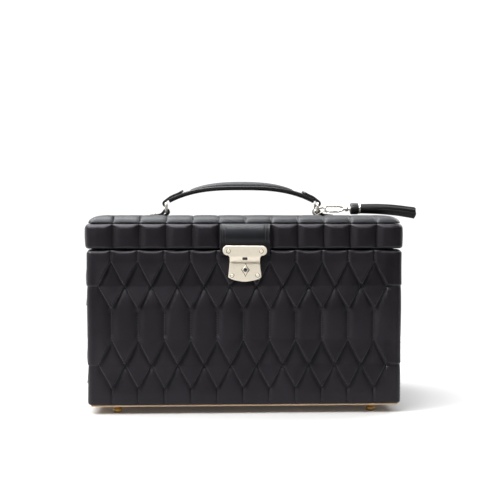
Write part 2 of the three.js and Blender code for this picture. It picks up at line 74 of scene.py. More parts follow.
# 0 below the low edge, 1 above the high one, and a smooth rise between.
def smoothStep(low, high, value):
    t = np.clip((value - low) / (high - low), 0, 1)
    return t * t * (3 - 2 * t)


def unit(vectors):
    return vectors / np.maximum(np.linalg.norm(vectors, axis=-1, keepdims=True), 1e-9)


# Points spaced evenly along a broken line, at the given step.
def along(points, step):
    points = np.asarray(points, float)
    lengths = np.r_[0, np.cumsum(np.linalg.norm(np.diff(points, axis=0), axis=1))]
    count = max(2, int(round(lengths[-1] / step)) + 1)
    at = np.linspace(0, lengths[-1], count)
    return np.stack([np.interp(at, lengths, points[:, k]) for k in range(points.shape[1])], -1)


# A smooth curve through a few points: the broken line is cut into short steps, and each step is replaced by
# the mean of its neighbours a few times, with the ends held.
def eased(points, step, rounds=6):
    curve = along(points, step)
    for _ in range(rounds):
        curve[1:-1] = (curve[:-2] + 2 * curve[1:-1] + curve[2:]) / 4
    return curve


# Soft irregularity: a sum of slow sine waves in space with seeded directions, about -1 to 1.
def drift(points, size, seed, waves=9):
    dice = np.random.default_rng(seed)
    total = np.zeros(points.shape[:-1])
    for _ in range(waves):
        wave = unit(dice.normal(size=3)) * dice.uniform(0.7, 1.6) * 2 * math.pi / size
        total += np.sin(points @ wave + dice.uniform(0, 2 * math.pi))
    return total / math.sqrt(waves) / 1.4


# Vertex numbers of the quads of a grid whose points run row by row.
def gridQuads(rows, columns, wrapRows=False, wrapColumns=False):
    i = np.arange(rows if wrapRows else rows - 1)
    j = np.arange(columns if wrapColumns else columns - 1)
    i, j = np.meshgrid(i, j, indexing="ij")
    nextI, nextJ = (i + 1) % rows, (j + 1) % columns
    corners = [i * columns + j, nextI * columns + j, nextI * columns + nextJ, i * columns + nextJ]
    return np.stack(corners, -1).reshape(-1, 4)


# A closed part: points, quads and the odd many-sided face, turned so that its faces look outwards.
def closedPart(points, quads, manySided=()):
    manySided = [np.asarray(face) for face in manySided]
    triangles = [quads[:, [0, 1, 2]], quads[:, [0, 2, 3]]]
    for face in manySided:
        triangles.append(np.stack([np.full(len(face) - 2, face[0]), face[1:-1], face[2:]], -1))
    a, b, c = (points[np.concatenate(triangles)][:, k] for k in range(3))
    if np.einsum("ij,ij->", a, np.cross(b, c)) < 0:
        quads = quads[:, ::-1]
        manySided = [face[::-1] for face in manySided]
    return points, quads, manySided


# A skin through sections, each a closed loop of points; open ends are closed by one flat face each.
def tube(sections, closed=False):
    rows, columns = sections.shape[:2]
    ends = [] if closed else [np.arange(columns), np.arange(columns)[::-1] + (rows - 1) * columns]
    return closedPart(sections.reshape(-1, 3), gridQuads(rows, columns, closed, True), ends)


def makePiece(name, parts, material, body, stands=(), crease=None):
    starts = np.cumsum([0] + [len(part[0]) for part in parts])
    points = np.concatenate([part[0] for part in parts])
    quads = np.concatenate([part[1] + start for part, start in zip(parts, starts)])
    others = [face + start for part, start in zip(parts, starts) for face in part[2]]
    sizes = np.r_[np.full(len(quads), 4), [len(face) for face in others]].astype(int)
    mesh = bpy.data.meshes.new(name)
    mesh.vertices.add(len(points))
    mesh.vertices.foreach_set("co", (points * millimetre + caseMid).astype(np.float32).ravel())
    mesh.loops.add(int(sizes.sum()))
    mesh.loops.foreach_set("vertex_index", np.concatenate([quads.ravel(), *others]).astype(np.int32))
    mesh.polygons.add(len(sizes))
    mesh.polygons.foreach_set("loop_start", np.r_[0, np.cumsum(sizes)[:-1]].astype(np.int32))
    mesh.update(calc_edges=True)
    mesh.validate()
    mesh.shade_smooth()
    if crease:
        mesh.set_sharp_from_angle(angle=math.radians(crease))
    mesh.materials.append(material)
    piece = bpy.data.objects.new(name, mesh)
    bpy.context.scene.collection.objects.link(piece)
    if body:
        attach(piece, body)
    if stands:
        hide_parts(*stands)
    return piece


# A strap along a path: its section is a rectangle with round corners, as wide as widths says along across,
# with its faces crowned in the middle.
def strap(path, across, widths, thicknesses, corner=0.5, crown=0.0, arc=5, flats=7):
    path = np.asarray(path, float)
    across = np.broadcast_to(across, path.shape)
    heading = np.gradient(path, axis=0)
    heading = unit(heading - across * np.sum(heading * across, -1, keepdims=True))
    outward = np.cross(heading, across)
    turn = np.linspace(0, math.pi / 2, arc)
    fraction = np.linspace(1, -1, flats)[1:-1]
    sideways = np.r_[np.ones(arc), fraction, -np.ones(2 * arc), -fraction, np.ones(arc)]
    upwards = np.r_[np.ones(2 * arc + flats - 2), -np.ones(2 * arc + flats - 2)]
    angles = np.r_[turn, np.full(flats - 2, math.pi / 2), turn + math.pi / 2,
                   turn + math.pi, np.full(flats - 2, 1.5 * math.pi), turn + 1.5 * math.pi]
    bulge = crown * (1 - sideways**2) * upwards
    corner = np.broadcast_to(corner, len(path))[:, None]
    halfWide = np.broadcast_to(widths, len(path))[:, None] / 2 - corner
    halfThick = np.maximum(np.broadcast_to(thicknesses, len(path))[:, None] / 2 - corner, 0.01)
    wide = sideways * halfWide + corner * np.cos(angles)
    high = upwards * halfThick + corner * np.sin(angles) + bulge
    sections = path[:, None] + across[:, None] * wide[..., None] + outward[:, None] * high[..., None]
    return tube(sections)


# A round bar along a path that lies in one plane; plane is that plane's normal.
def bar(path, plane, radius, sides=16, closed=False):
    path = np.asarray(path, float)
    heading = np.roll(path, -1, 0) - np.roll(path, 1, 0) if closed else np.gradient(path, axis=0)
    outward = np.cross(unit(heading), plane)
    turn = np.linspace(0, 2 * math.pi, sides, endpoint=False)
    radius = np.broadcast_to(radius, len(path))[:, None, None]
    round_ = outward[:, None] * np.cos(turn)[:, None] + np.asarray(plane) * np.sin(turn)[:, None]
    return tube(path[:, None] + radius * round_, closed)


# A turned piece: radius and height pairs swung round the line through centre along axis.
def turned(profile, centre, axis, sides=40):
    profile = np.asarray(profile, float)
    first = unit(np.cross(axis, [0.31, 0.87, 0.38]))
    second = np.cross(axis, first)
    turn = np.linspace(0, 2 * math.pi, sides, endpoint=False)[:, None]
    spokes = first * np.cos(turn) + second * np.sin(turn)
    sections = np.asarray(centre) + profile[:, :1, None] * spokes + profile[:, 1:, None] * np.asarray(axis)
    return tube(sections)


# Stitches: a small rounded bar from each first point to each second one, raised along normal in its middle.
def stitches(starts, ends, normals, radius, lift=0.3):
    sides = 6
    # Each ring's share of the length, share of the radius, and lift.
    rings = [[0.0, 0.35, -0.6], [0.18, 1.0, 0.2], [0.5, 1.0, 0.8], [0.82, 1.0, 0.2], [1.0, 0.35, -0.6]]
    rings = np.array(rings)
    turn = np.linspace(0, 2 * math.pi, sides, endpoint=False)
    heading = unit(ends - starts)
    side = unit(np.cross(heading, normals))
    rise = np.cross(side, heading)
    place = starts[:, None] + (ends - starts)[:, None] * rings[:, :1]
    place = place + rise[:, None] * rings[:, 2:] * lift * radius
    swing = side[:, None, None] * np.cos(turn)[:, None] + rise[:, None, None] * np.sin(turn)[:, None]
    points = place[:, :, None] + swing * (radius * rings[:, 1])[:, None, None]
    firstCap = np.array([[0, 1, 2, 3], [0, 3, 4, 5]])
    lastCap = firstCap[:, ::-1] + (len(rings) - 1) * sides
    one = np.concatenate([gridQuads(len(rings), sides, False, True), firstCap, lastCap])
    sample = closedPart(points[0].reshape(-1, 3), one)[1]
    offsets = np.arange(len(points)) * len(rings) * sides
    return points.reshape(-1, 3), (sample + offsets[:, None, None]).reshape(-1, 4), []


# Start and end points of stitches along a line, cut at the pitch, each stitch filling the share fill of its
# step.
def stitchLine(points, pitch, fill=0.62):
    places = along(points, pitch)
    inset = (places[1:] - places[:-1]) * (1 - fill) / 2
    return places[:-1] + inset, places[1:] - inset


def addNode(tree, kind, inputs=None, **settings):
    node = tree.nodes.new(kind)
    for key, value in settings.items():
        setattr(node, key, value)
    for key, value in (inputs or {}).items():
        if isinstance(value, bpy.types.NodeSocket):
            tree.links.new(value, node.inputs[key])
        else:
            node.inputs[key].default_value = value
    return node


# A colour ramp from (place, colour or grey) stops.
def addRamp(tree, factor, stops):
    ramp = addNode(tree, "ShaderNodeValToRGB", {"Fac": factor})
    elements = ramp.color_ramp.elements
    while len(elements) < len(stops):
        elements.new(0.5)
    for element, (place, colour) in zip(elements, stops):
        element.position = place
        element.color = (*colour, 1) if isinstance(colour, tuple) else (colour, colour, colour, 1)
    return ramp.outputs["Color"]


def noise(tree, place, scale, detail, roughness=0.5):
    sockets = {"Vector": place, "Scale": scale, "Detail": detail, "Roughness": roughness}
    return addNode(tree, "ShaderNodeTexNoise", sockets).outputs["Fac"]


# A value carried from the range start..end to the range low..high.
def rescaled(tree, value, start, end, low, high):
    sockets = {"Value": value, "From Min": start, "From Max": end, "To Min": low, "To Max": high}
    return addNode(tree, "ShaderNodeMapRange", sockets).outputs["Result"]


def combined(tree, first, second, operation):
    return addNode(tree, "ShaderNodeMath", {0: first, 1: second}, operation=operation).outputs["Value"]


# A bump of the given depth in metres, laid over another bump's normal where there is one.
def bumped(tree, height, depth, under=None):
    sockets = {"Height": height, "Strength": 1.0, "Distance": depth}
    if under is not None:
        sockets["Normal"] = under
    return addNode(tree, "ShaderNodeBump", sockets).outputs["Normal"]


def startMaterial(name, settings):
    material = bpy.data.materials.new(name)
    material.use_nodes = True
    tree = material.node_tree
    shader = tree.nodes["Principled BSDF"]
    for key, value in settings.items():
        shader.inputs[key].default_value = value
    place = addNode(tree, "ShaderNodeTexCoord").outputs["Object"]
    return material, tree, shader, place


def connect(tree, shader, colour, roughness, normal=None):
    tree.links.new(colour, shader.inputs["Base Color"])
    tree.links.new(roughness, shader.inputs["Roughness"])
    if normal is not None:
        tree.links.new(normal, shader.inputs["Normal"])


# Leather: two shades under a slow noise, long wrinkles, a fine pebble from cell distances, finer pores, and a
# roughness that wanders a little, so that the gloss breaks up. Sizes are millimetres, and depths are metres.
leatherUser = {
    "cloudScale": 28.0, "wrinkleScale": 120.0, "poreScale": 950.0, "grainSize": 1.1,
    "wrinkleDepth": 0.00015, "grainDepth": 0.00006, "poreDepth": 0.00002, "glossSpread": 0.07,
}


def leather(name, dark, light, roughness, grain=1.0, wrinkle=1.0, specular=0.5, tint=(1, 1, 1)):
    user = leatherUser
    settings = {"Specular IOR Level": specular, "Specular Tint": (*tint, 1)}
    material, tree, shader, place = startMaterial(name, settings)
    clouds = noise(tree, place, user["cloudScale"], 3.0, 0.6)
    wrinkles = noise(tree, place, user["wrinkleScale"], 4.0, 0.65)
    pores = noise(tree, place, user["poreScale"], 2.0, 0.55)
    cellSockets = {"Vector": place, "Scale": 1 / (user["grainSize"] * millimetre)}
    cells = addNode(tree, "ShaderNodeTexVoronoi", cellSockets, feature="DISTANCE_TO_EDGE")
    pebble = addRamp(tree, cells.outputs["Distance"], [(0.0, 0.0), (0.16, 1.0)])
    normal = bumped(tree, wrinkles, user["wrinkleDepth"] * wrinkle)
    normal = bumped(tree, pebble, user["grainDepth"] * grain, normal)
    normal = bumped(tree, pores, user["poreDepth"] * grain, normal)
    colour = addRamp(tree, clouds, [(0.3, dark), (0.72, light)])
    half = user["glossSpread"] / 2
    gloss = rescaled(tree, clouds, 0.3, 0.7, roughness - half, roughness + half)
    connect(tree, shader, colour, gloss, normal)
    return material


# Plated metal: a clean colour with faint dull clouds, and hairline scratches that only change the roughness
# and a very shallow bump.
def metal(name, colour, tarnish, roughness, scratch=0.04, metallic=1.0):
    material, tree, shader, place = startMaterial(name, {"Metallic": metallic})
    clouds = noise(tree, place, 190.0, 4.0, 0.6)
    stretched = addNode(tree, "ShaderNodeMapping", {"Vector": place, "Scale": (900.0, 900.0, 5200.0)})
    hairlines = noise(tree, stretched.outputs["Vector"], 1.0, 3.0)
    wear = combined(tree, clouds, hairlines, "ADD")
    shade = addRamp(tree, clouds, [(0.35, colour), (0.8, tarnish)])
    gloss = rescaled(tree, wear, 0.7, 1.3, roughness, roughness + scratch * 3)
    connect(tree, shader, shade, gloss, bumped(tree, wear, 0.000012))
    return material


# Suede: a short nap, lighter and darker in patches where it has been stroked, with a soft sheen.
def suede(name, dark, light):
    material, tree, shader, place = startMaterial(name, {"Sheen Weight": 0.25, "Sheen Roughness": 0.35})
    patches = noise(tree, place, 22.0, 4.0, 0.6)
    nap = noise(tree, place, 1400.0, 2.0, 0.7)
    stroked = combined(tree, patches, combined(tree, nap, 0.35, "MULTIPLY"), "ADD")
    colour = addRamp(tree, stroked, [(0.4, dark), (0.9, light)])
    connect(tree, shader, colour, rescaled(tree, nap, 0.0, 1.0, 0.82, 1.0), bumped(tree, nap, 0.0002))
    return material


# Mirror glass: silver with the faintest unevenness in its gloss.
def mirrorGlass(name):
    material, tree, shader, place = startMaterial(name, {"Metallic": 1.0})
    haze = noise(tree, place, 35.0, 3.0)
    silver = addRamp(tree, haze, [(0.3, (0.86, 0.88, 0.89)), (0.7, (0.9, 0.91, 0.92))])
    connect(tree, shader, silver, rescaled(tree, haze, 0.0, 1.0, 0.01, 0.04))
    return material


quiltedLeather = leather("quilted leather", (0.0046, 0.0039, 0.0050), (0.0078, 0.0065, 0.0084), 0.36,
                         grain=0.8, specular=0.30, tint=(0.95, 0.92, 1.0))
padLeather = leather("pad leather", (0.0066, 0.0067, 0.0082), (0.0098, 0.0099, 0.0118), 0.35,
                     grain=0.8, specular=0.30, tint=(0.91, 0.95, 1.0))
strapLeather = leather("strap leather", (0.0060, 0.0059, 0.0065), (0.0100, 0.0097, 0.0105), 0.38,
                       grain=0.7, specular=0.36)
tabLeather = leather("tab leather", (0.0058, 0.0059, 0.0074), (0.0088, 0.0089, 0.0110), 0.31,
                     grain=0.35, wrinkle=0.3, specular=0.42, tint=(0.94, 0.97, 1.0))
fringeLeather = leather("fringe leather", (0.0035, 0.0034, 0.0037), (0.0065, 0.0063, 0.0067), 0.44,
                        specular=0.24)
wrapLeather = leather("wrapping leather", (0.0060, 0.0057, 0.0063), (0.0090, 0.0087, 0.0093), 0.5,
                      specular=0.3)
thread = leather("thread", (0.011, 0.0108, 0.012), (0.019, 0.0185, 0.021), 0.5, grain=0.5, wrinkle=0.2)
tanLeather = leather("tan base", (0.70, 0.49, 0.30), (0.80, 0.57, 0.37), 0.6, grain=1.5)
# Painted shade: a near-black material for the dark sheets that stand in for the shade in the keyhole and the
# hasp's slot, and round the escutcheon and the rivets.
paintedLockShade = leather("lock shadow", (0.004, 0.004, 0.004), (0.006, 0.006, 0.006), 0.7)
paleGold = metal("pale gold", (0.97, 0.89, 0.745), (0.9, 0.81, 0.66), 0.36, metallic=0.7)
brightGold = metal("bright pale metal", (0.92, 0.88, 0.81), (0.84, 0.79, 0.7), 0.2, metallic=0.85)
footBrass = metal("foot brass", (0.55, 0.37, 0.14), (0.42, 0.27, 0.1), 0.24)
lockSteel = metal("lock steel", (0.45, 0.45, 0.46), (0.3, 0.3, 0.31), 0.32, scratch=0.08)
liningSuede = suede("lining suede", (0.23, 0.18, 0.13), (0.33, 0.27, 0.21))
rollSuede = suede("roll suede", (0.26, 0.21, 0.155), (0.37, 0.305, 0.24))
mirrorSilver = mirrorGlass("mirror silver")
print("materials ready")


wallUser = {
    "cornerRadius": 6.0,
    "thickness": 3.3,
    "step": 0.86,
    "frontPitch": 27.5, "frontShiftBody": -2.0, "frontShiftLid": 0.5, "frontLines": 5,
    "sidePitch": 25.6, "sideLines": 3,
}
cornerRadius = wallUser["cornerRadius"]


# The four walls: u runs along the wall, n looks out of it; front and back take the round corners with them.
def wall(u, n, straight, distance, rounds, pitch, shifts, lines):
    return {"u": np.array(u, float), "n": np.array(n, float), "straight": straight, "distance": distance,
            "rounds": rounds, "pitch": pitch, "shifts": shifts, "lines": lines}


frontShifts = (wallUser["frontShiftBody"], wallUser["frontShiftLid"])
longPattern = (wallUser["frontPitch"], frontShifts, wallUser["frontLines"])
shortPattern = (wallUser["sidePitch"], (0.0, 0.0), wallUser["sideLines"])
longWall = (halfWidth - cornerRadius, halfDepth, True, *longPattern)
shortWall = (halfDepth - cornerRadius, halfWidth, False, *shortPattern)
walls = {
    "front": wall(right, -back, *longWall),
    "back": wall(-right, back, *longWall),
    "right": wall(back, right, *shortWall),
    "left": wall(-back, -right, *shortWall),
}


# A place on a wall: s runs along it, then round the corner as far as a quarter turn; out is away from it.
def onWall(side, s, z, out):
    turn = np.clip((np.abs(s) - side["straight"]) / cornerRadius, 0, math.pi / 2)
    way = np.sign(s)
    run = way * (np.minimum(np.abs(s), side["straight"]) + (cornerRadius + out) * np.sin(turn))
    away = side["distance"] - cornerRadius + (cornerRadius + out) * np.cos(turn)
    return run[..., None] * side["u"] + away[..., None] * side["n"] + z[..., None] * up


# How far s is from the nearest quilting line, in pitches (0 on a line, 0.5 midway), held at midway past the
# last line's own half pitch, so that the pattern ends the same way on both sides of a corner.
def fromLine(side, s, shift):
    across = (s - shift) / side["pitch"]
    across = np.clip(across, -side["lines"] - 0.5, side["lines"] + 0.5)
    return np.abs(across - np.round(across))


# The walls' pattern is five rows of overlapping scales. Each border zigzags: it stands at one height on the
# quilting lines and at another midway between them.
scaleUser = {
    "borders": [(160.7, 135.2), (111.3, 135.2), (78.3, 52.3), (27.8, 52.3)],
    "tipLift": 4.0, "upperLift": 0.4, "rootLift": -0.6, "edgeWidth": 0.42,
    "lip": 0.12, "lipPlace": 1.2, "lipWidth": 0.8, "groove": 2.3, "grooveWidth": 2.8,
    "channelDepth": 1.3, "channelWidth": 1.2, "hexChannel": 2.1, "hexChannelWidth": 3.4,
    "hexPuff": 1.1, "hexPuffWidth": 6.0, "unevenness": 0.16, "cornerShare": 0.12,
    "lockMid": -0.6, "lockHalf": 21.0, "lockBottom": 136.0, "lockClear": 2.2,
}


# Height of the scales over the wall. In each row the leather rises from root to tip as it goes down, slowly
# above the widest place and faster below it; it falls away at the row's lower border, where a small lip
# stands over a groove. Straight channels run on the quilting lines between the rows of diamonds.
def scaleRelief(side, s, z):
    user = scaleUser
    part = fromLine(side, s, side["shifts"][0])
    zig = 2 * part
    nearLine = part * side["pitch"]
    levels = [onLine + (midway - onLine) * zig for onLine, midway in user["borders"]]
    (apex1, wide1), (tip1, _), (apex2, wide2), (tip2, _) = user["borders"]
    topZ, lowZ = frontHigh[2], frontLow[2]
    root, upper, tip = user["rootLift"], user["upperLift"], user["tipLift"]
    rise = lambda a, b: np.clip((a - z) / (a - b), 0, 1)
    channel = user["channelDepth"] * np.exp(-((nearLine / user["channelWidth"]) ** 2))
    hexChannel = user["hexChannel"] * np.exp(-((nearLine / user["hexChannelWidth"]) ** 2))
    puff = user["hexPuff"] * (1 - np.exp(-((nearLine / user["hexPuffWidth"]) ** 2)))
    top = 0.3 + 0.5 * rise(topZ, apex1) + (tip - 0.8) * rise(apex1, wide1) ** 1.2
    top = top - channel * smoothStep(apex1 - 3, apex1 + 2, z)
    diamond1 = root + upper * rise(apex1, wide1) + (tip - upper) * rise(wide1, tip1)
    hexagon = root + 0.6 * rise(wide1, tip1)
    hexagon = hexagon + puff * smoothStep(wide1, tip1, z) * smoothStep(wide2, apex2, z)
    hexagon = hexagon - hexChannel * smoothStep(apex2 - 4, apex2 + 9, z) * smoothStep(tip1 + 2, tip1 - 5, z)
    hexagon = hexagon + (tip - root - 1.2) * rise(apex2, wide2)
    diamond2 = root + upper * rise(apex2, wide2) + (tip - upper) * rise(wide2, tip2)
    bottom = root + 1.6 * rise(wide2, lowZ + 12) - channel * smoothStep(tip2 + 2, tip2 - 2, z)
    height = bottom
    rows = (diamond2, hexagon, diamond1, top)
    for above, level, (onLine, midway) in zip(rows, levels[::-1], user["borders"][::-1]):
        slope = side["pitch"] / 2 / math.hypot(side["pitch"] / 2, onLine - midway)
        distance = (z - level) * np.where(zig > 0.999, 1.0, slope)
        over = 0.5 + 0.5 * np.tanh((distance - 0.2) / user["edgeWidth"])
        height = height - user["groove"] * np.exp(np.minimum(distance, 0) / user["grooveWidth"])
        above = above + user["lip"] * np.exp(-(((distance - user["lipPlace"]) / user["lipWidth"]) ** 2))
        height = height + (above - height) * over
    corner = smoothStep(side["straight"] - 14, side["straight"] - 2, np.abs(s))
    height = height * (1 - (1 - user["cornerShare"]) * corner)
    if side["n"][1] < 0:
        behindLock = 1 - smoothStep(user["lockHalf"] - 2, user["lockHalf"] + 1, np.abs(s - user["lockMid"]))
        behindLock = behindLock * smoothStep(user["lockBottom"] - 2, user["lockBottom"] + 1, z)
        height = height + (np.minimum(height, user["lockClear"]) - height) * behindLock
    return height


# The lid's skirt is one row of upright puffs: full between the lines and pulled in on them.
skirtUser = {
    "puff": 2.3, "puffWidth": 4.6, "lineDepth": 0.7, "crown": 0.7, "crease": 1.3, "creaseWidth": 0.9,
    "tabMid": -0.2, "tabHalf": 26.0, "tabRelief": -0.3,
}
tabCurveUser = {"low": 178.0, "bend": 186.5, "top": 198.9, "bulge": 1.1, "depth": 3.3}


# How far the leather tab stands back from its plane at a height: it swells a little outwards up to the bend
# and then leans back more and more towards the lid's edge.
def tabCurve(z):
    user = tabCurveUser
    swell = smoothStep(user["low"], user["bend"], z)
    lean = np.clip((z - user["bend"]) / (user["top"] - user["bend"]), 0, 1)
    return user["depth"] * lean**2.1 - user["bulge"] * swell


def skirtRelief(side, s, z):
    user = skirtUser
    part = fromLine(side, s, side["shifts"][1])
    nearLine = part * side["pitch"]
    full = 1 - np.exp(-((nearLine / user["puffWidth"]) ** 2))
    middle = (z - (lidLow[2] + lidHigh[2]) / 2) / ((lidHigh[2] - lidLow[2]) / 2)
    height = -user["lineDepth"] + user["puff"] * full + user["crown"] * full * (1 - middle**2)
    height = height - user["crease"] * np.exp(-((nearLine / user["creaseWidth"]) ** 2))
    height = height * (1 - 0.6 * smoothStep(side["straight"] - 6, side["straight"] + 2, np.abs(s)))
    if side["n"][1] < 0:
        underTab = 1 - smoothStep(user["tabHalf"] - 1.5, user["tabHalf"] + 1.5, np.abs(s - user["tabMid"]))
        height = height + (user["tabRelief"] - np.maximum(tabCurve(z), 0) - height) * underTab
    return height


# A wall's padded cover: rows go up the outside over a rolled lower and upper edge, then down the inside.
def coverPart(side, zLow, zHigh, relief, rollLow, rollHigh, shift, seed):
    end = side["straight"] + (cornerRadius * math.pi / 2 if side["rounds"] else 0)
    count = int(2 * side["straight"] / wallUser["step"])
    s = np.linspace(-side["straight"], side["straight"], count)
    if side["rounds"]:
        bend = np.linspace(side["straight"], end, 13)[1:]
        s = np.r_[-bend[::-1], s, bend]
    part = fromLine(side, s, shift)
    full = 1 - np.exp(-((part * side["pitch"] / 5.0) ** 2))
    low = rollLow[0] + (rollLow[1] - rollLow[0]) * full
    high = rollHigh[0] + (rollHigh[1] - rollHigh[0]) * full
    quarter = np.linspace(0, math.pi / 2, 9)
    rows = int((zHigh - zLow) / wallUser["step"])
    zRows, outRows = [], []
    for angle in quarter[::-1][:-1]:
        zRows.append(zLow + low * (1 - math.sin(angle)))
        outRows.append(-low * (1 - math.cos(angle)))
    for t in np.linspace(0, 1, rows):
        zRows.append(zLow + low + (zHigh - high - zLow - low) * t)
        outRows.append(np.zeros_like(s))
    for angle in quarter[1:]:
        zRows.append(zHigh - high * (1 - math.sin(angle)))
        outRows.append(-high * (1 - math.cos(angle)))
    z, out = np.array(zRows), np.array(outRows)
    sGrid = np.broadcast_to(s, z.shape)
    bare = onWall(side, sGrid, z, np.zeros_like(z))
    lift = relief(side, sGrid, z) + scaleUser["unevenness"] * drift(bare, 34, seed)
    outside = onWall(side, sGrid, z, out + lift)
    inner = -wallUser["thickness"] * np.ones_like(s)
    inside = [onWall(side, s, np.full_like(s, level), inner) for level in (zHigh - 0.2, zLow + 0.2)]
    points = np.concatenate([outside, np.array(inside)]).transpose(1, 0, 2)
    return tube(points)


# The stitched lines of the pattern, as broken lines of (s, z) places on a wall.
def bodySeams(side):
    pitch, lines, shift = side["pitch"], side["lines"], side["shifts"][0]
    at = np.arange(-lines - 0.5, lines + 0.51, 0.5)
    seams = []
    for onLine, midway in scaleUser["borders"]:
        heights = np.where(np.isclose(at % 1, 0), onLine, midway)
        seams.append(np.stack([at * pitch + shift, heights + 1.1], -1))
    for k in range(-lines, lines + 1):
        x = k * pitch + shift
        for high, low in ((frontHigh[2] - 5, 163), (109, 80), (25.5, frontLow[2] + 3)):
            seams.append(np.array([[x, high], [x, low]]))
    return seams


def skirtSeams(side):
    lines = np.arange(-side["lines"], side["lines"] + 1) * side["pitch"] + side["shifts"][1]
    if side["n"][1] < 0:
        lines = lines[np.abs(lines) > 30]
    return [np.array([[x, lidHigh[2] - 5], [x, lidLow[2] + 3.5]]) for x in lines]


def seamStitches(side, seams, relief, pitch=2.7, radius=0.33):
    starts, ends = zip(*(stitchLine(seam, pitch) for seam in seams))
    starts, ends = np.concatenate(starts), np.concatenate(ends)
    place = lambda at: onWall(side, at[:, 0], at[:, 1], relief(side, at[:, 0], at[:, 1]) + 0.05)
    normals = onWall(side, starts[:, 0], starts[:, 1], np.ones(len(starts)))
    normals = normals - onWall(side, starts[:, 0], starts[:, 1], np.zeros(len(starts)))
    return stitches(place(starts), place(ends), normals, radius)


# Radii of the rolled edges, on the quilting lines and at full puff.
rollUser = {"bodyLow": (2.0, 2.6), "bodyHigh": (1.6, 4.4), "skirtLow": (1.2, 2.8), "skirtHigh": (1.9, 5.2)}
for name, side in walls.items():
    shiftBody, shiftLid = side["shifts"]
    cover = coverPart(side, frontLow[2], frontHigh[2], scaleRelief, rollUser["bodyLow"], rollUser["bodyHigh"],
                      shiftBody, 3)
    piece = makePiece(f"quilted_{name}_cover", [cover], quiltedLeather, "case", [f"{name}_quilt"])
    skirt = coverPart(side, lidLow[2], lidHigh[2], skirtRelief, rollUser["skirtLow"], rollUser["skirtHigh"],
                      shiftLid, 5)
    piece = makePiece(f"lid_{name}_skirt", [skirt], quiltedLeather, "lid", [f"lid_{name}_quilt"])
bodyThread = [seamStitches(side, bodySeams(side), scaleRelief) for side in walls.values()]
makePiece("body_stitching", bodyThread, thread, "case")
skirtThread = [seamStitches(side, skirtSeams(side), skirtRelief) for side in walls.values()]
makePiece("skirt_stitching", skirtThread, thread, "lid")
print("quilted walls made")


padUser = {
    "baseInset": 2.0, "bandWidth": 17.0, "crest": 208.5, "fieldInset": 24.0, "fieldHeight": 207.3,
    "puff": 0.85, "lineDepth": 0.5, "crease": 1.9, "cornerAtBase": 5.0, "cornerGrowth": 0.35,
}


# Rounded rectangles nested inwards, all with the same number of points, so that rows run straight over the
# edge.
def nestedOutline(inset, radius, longSteps=376, shortSteps=232, arcSteps=10):
    halfX, halfY = halfWidth - inset - radius, halfDepth - inset - radius
    runs = []
    for turn, (cx, cy), (dx, dy), steps in (
        (0, (halfX, -halfY), (0, 1), shortSteps),
        (1, (halfX, halfY), (-1, 0), longSteps),
        (2, (-halfX, halfY), (0, -1), shortSteps),
        (3, (-halfX, -halfY), (1, 0), longSteps),
    ):
        length = 2 * halfY if dx == 0 else 2 * halfX
        t = np.linspace(0, 1, steps)[:, None]
        outward = np.array([math.cos(turn * math.pi / 2), math.sin(turn * math.pi / 2)])
        runs.append(np.array([cx, cy]) + outward * radius + np.array([dx, dy]) * length * t)
        angle = np.linspace(turn * math.pi / 2, (turn + 1) * math.pi / 2, arcSteps)[1:-1]
        corner = np.array([cx, cy]) + np.array([dx, dy]) * length
        runs.append(corner + radius * np.stack([np.cos(angle), np.sin(angle)], -1))
    return np.concatenate(runs)


# The pad: a bevelled band with puffs across it, which rises as a quarter ellipse from the skirt to a crest,
# a sewn seam inside the crest, and a quiet field in the middle.
def padPart():
    user = padUser
    angles = np.linspace(0, math.pi / 2, 20)
    bandInset = user["baseInset"] + user["bandWidth"] * (1 - np.cos(angles))
    rise = user["crest"] - padBottom
    bandHeight = padBottom + rise * np.sin(angles)
    fieldStart = user["fieldInset"]
    inner = np.r_[np.linspace(bandInset[-1] + 1, fieldStart + 3, 9), np.linspace(fieldStart + 6, 94, 18)]
    dip = 1.0 * np.exp(-(((inner - fieldStart) / 1.0) ** 2))
    sunk = smoothStep(bandInset[-1], fieldStart + 2, inner)
    level = user["crest"] - 0.15 + (user["fieldHeight"] - user["crest"]) * sunk
    insets = np.r_[bandInset, inner]
    heights = np.r_[bandHeight, level - dip]
    rows = []
    for inset, height in zip(insets, heights):
        radius = user["cornerAtBase"] + user["cornerGrowth"] * min(inset, 30)
        outline = nestedOutline(inset, min(radius, halfDepth - inset - 1.5))
        rows.append(np.c_[outline, np.full(len(outline), height)])
    points = np.array(rows)
    x, y = points[..., 0], points[..., 1]
    onLong = (halfDepth - np.abs(y)) < (halfWidth - np.abs(x))
    nearLong = fromLine(walls["front"], x, walls["front"]["shifts"][1])
    nearShort = fromLine(walls["right"], y, 0.0)
    nearLine = np.where(onLong, nearLong * wallUser["frontPitch"], nearShort * wallUser["sidePitch"])
    full = 1 - np.exp(-np.abs(nearLine / 3.0) ** 1.5)
    crease = user["crease"] * np.exp(-((nearLine / 0.7) ** 2))
    lift = user["puff"] * full - user["lineDepth"] - crease
    inBand = 1 - smoothStep(bandInset[-1] - 1.0, fieldStart - 1.0, insets)[:, None]
    lift = lift * inBand * smoothStep(0, 3, insets - user["baseInset"] + 1.2)[:, None]
    lift = lift + 0.12 * drift(points, 45, 11)
    normals = unit(np.cross(np.roll(points, -1, 1) - np.roll(points, 1, 1), np.gradient(points, axis=0)))
    normals *= np.sign(normals[..., 2:] + 1e-6)
    points = points + normals * lift[..., None]
    under = nestedOutline(user["baseInset"] + 1.5, user["cornerAtBase"])
    bottom = np.c_[under, np.full(len(under), padBottom - 0.1)]
    return tube(np.concatenate([bottom[None], points]))


piece = makePiece("lid_padded_top", [padPart()], padLeather, "lid", ["lid_top_pad"])
print("lid pad made")


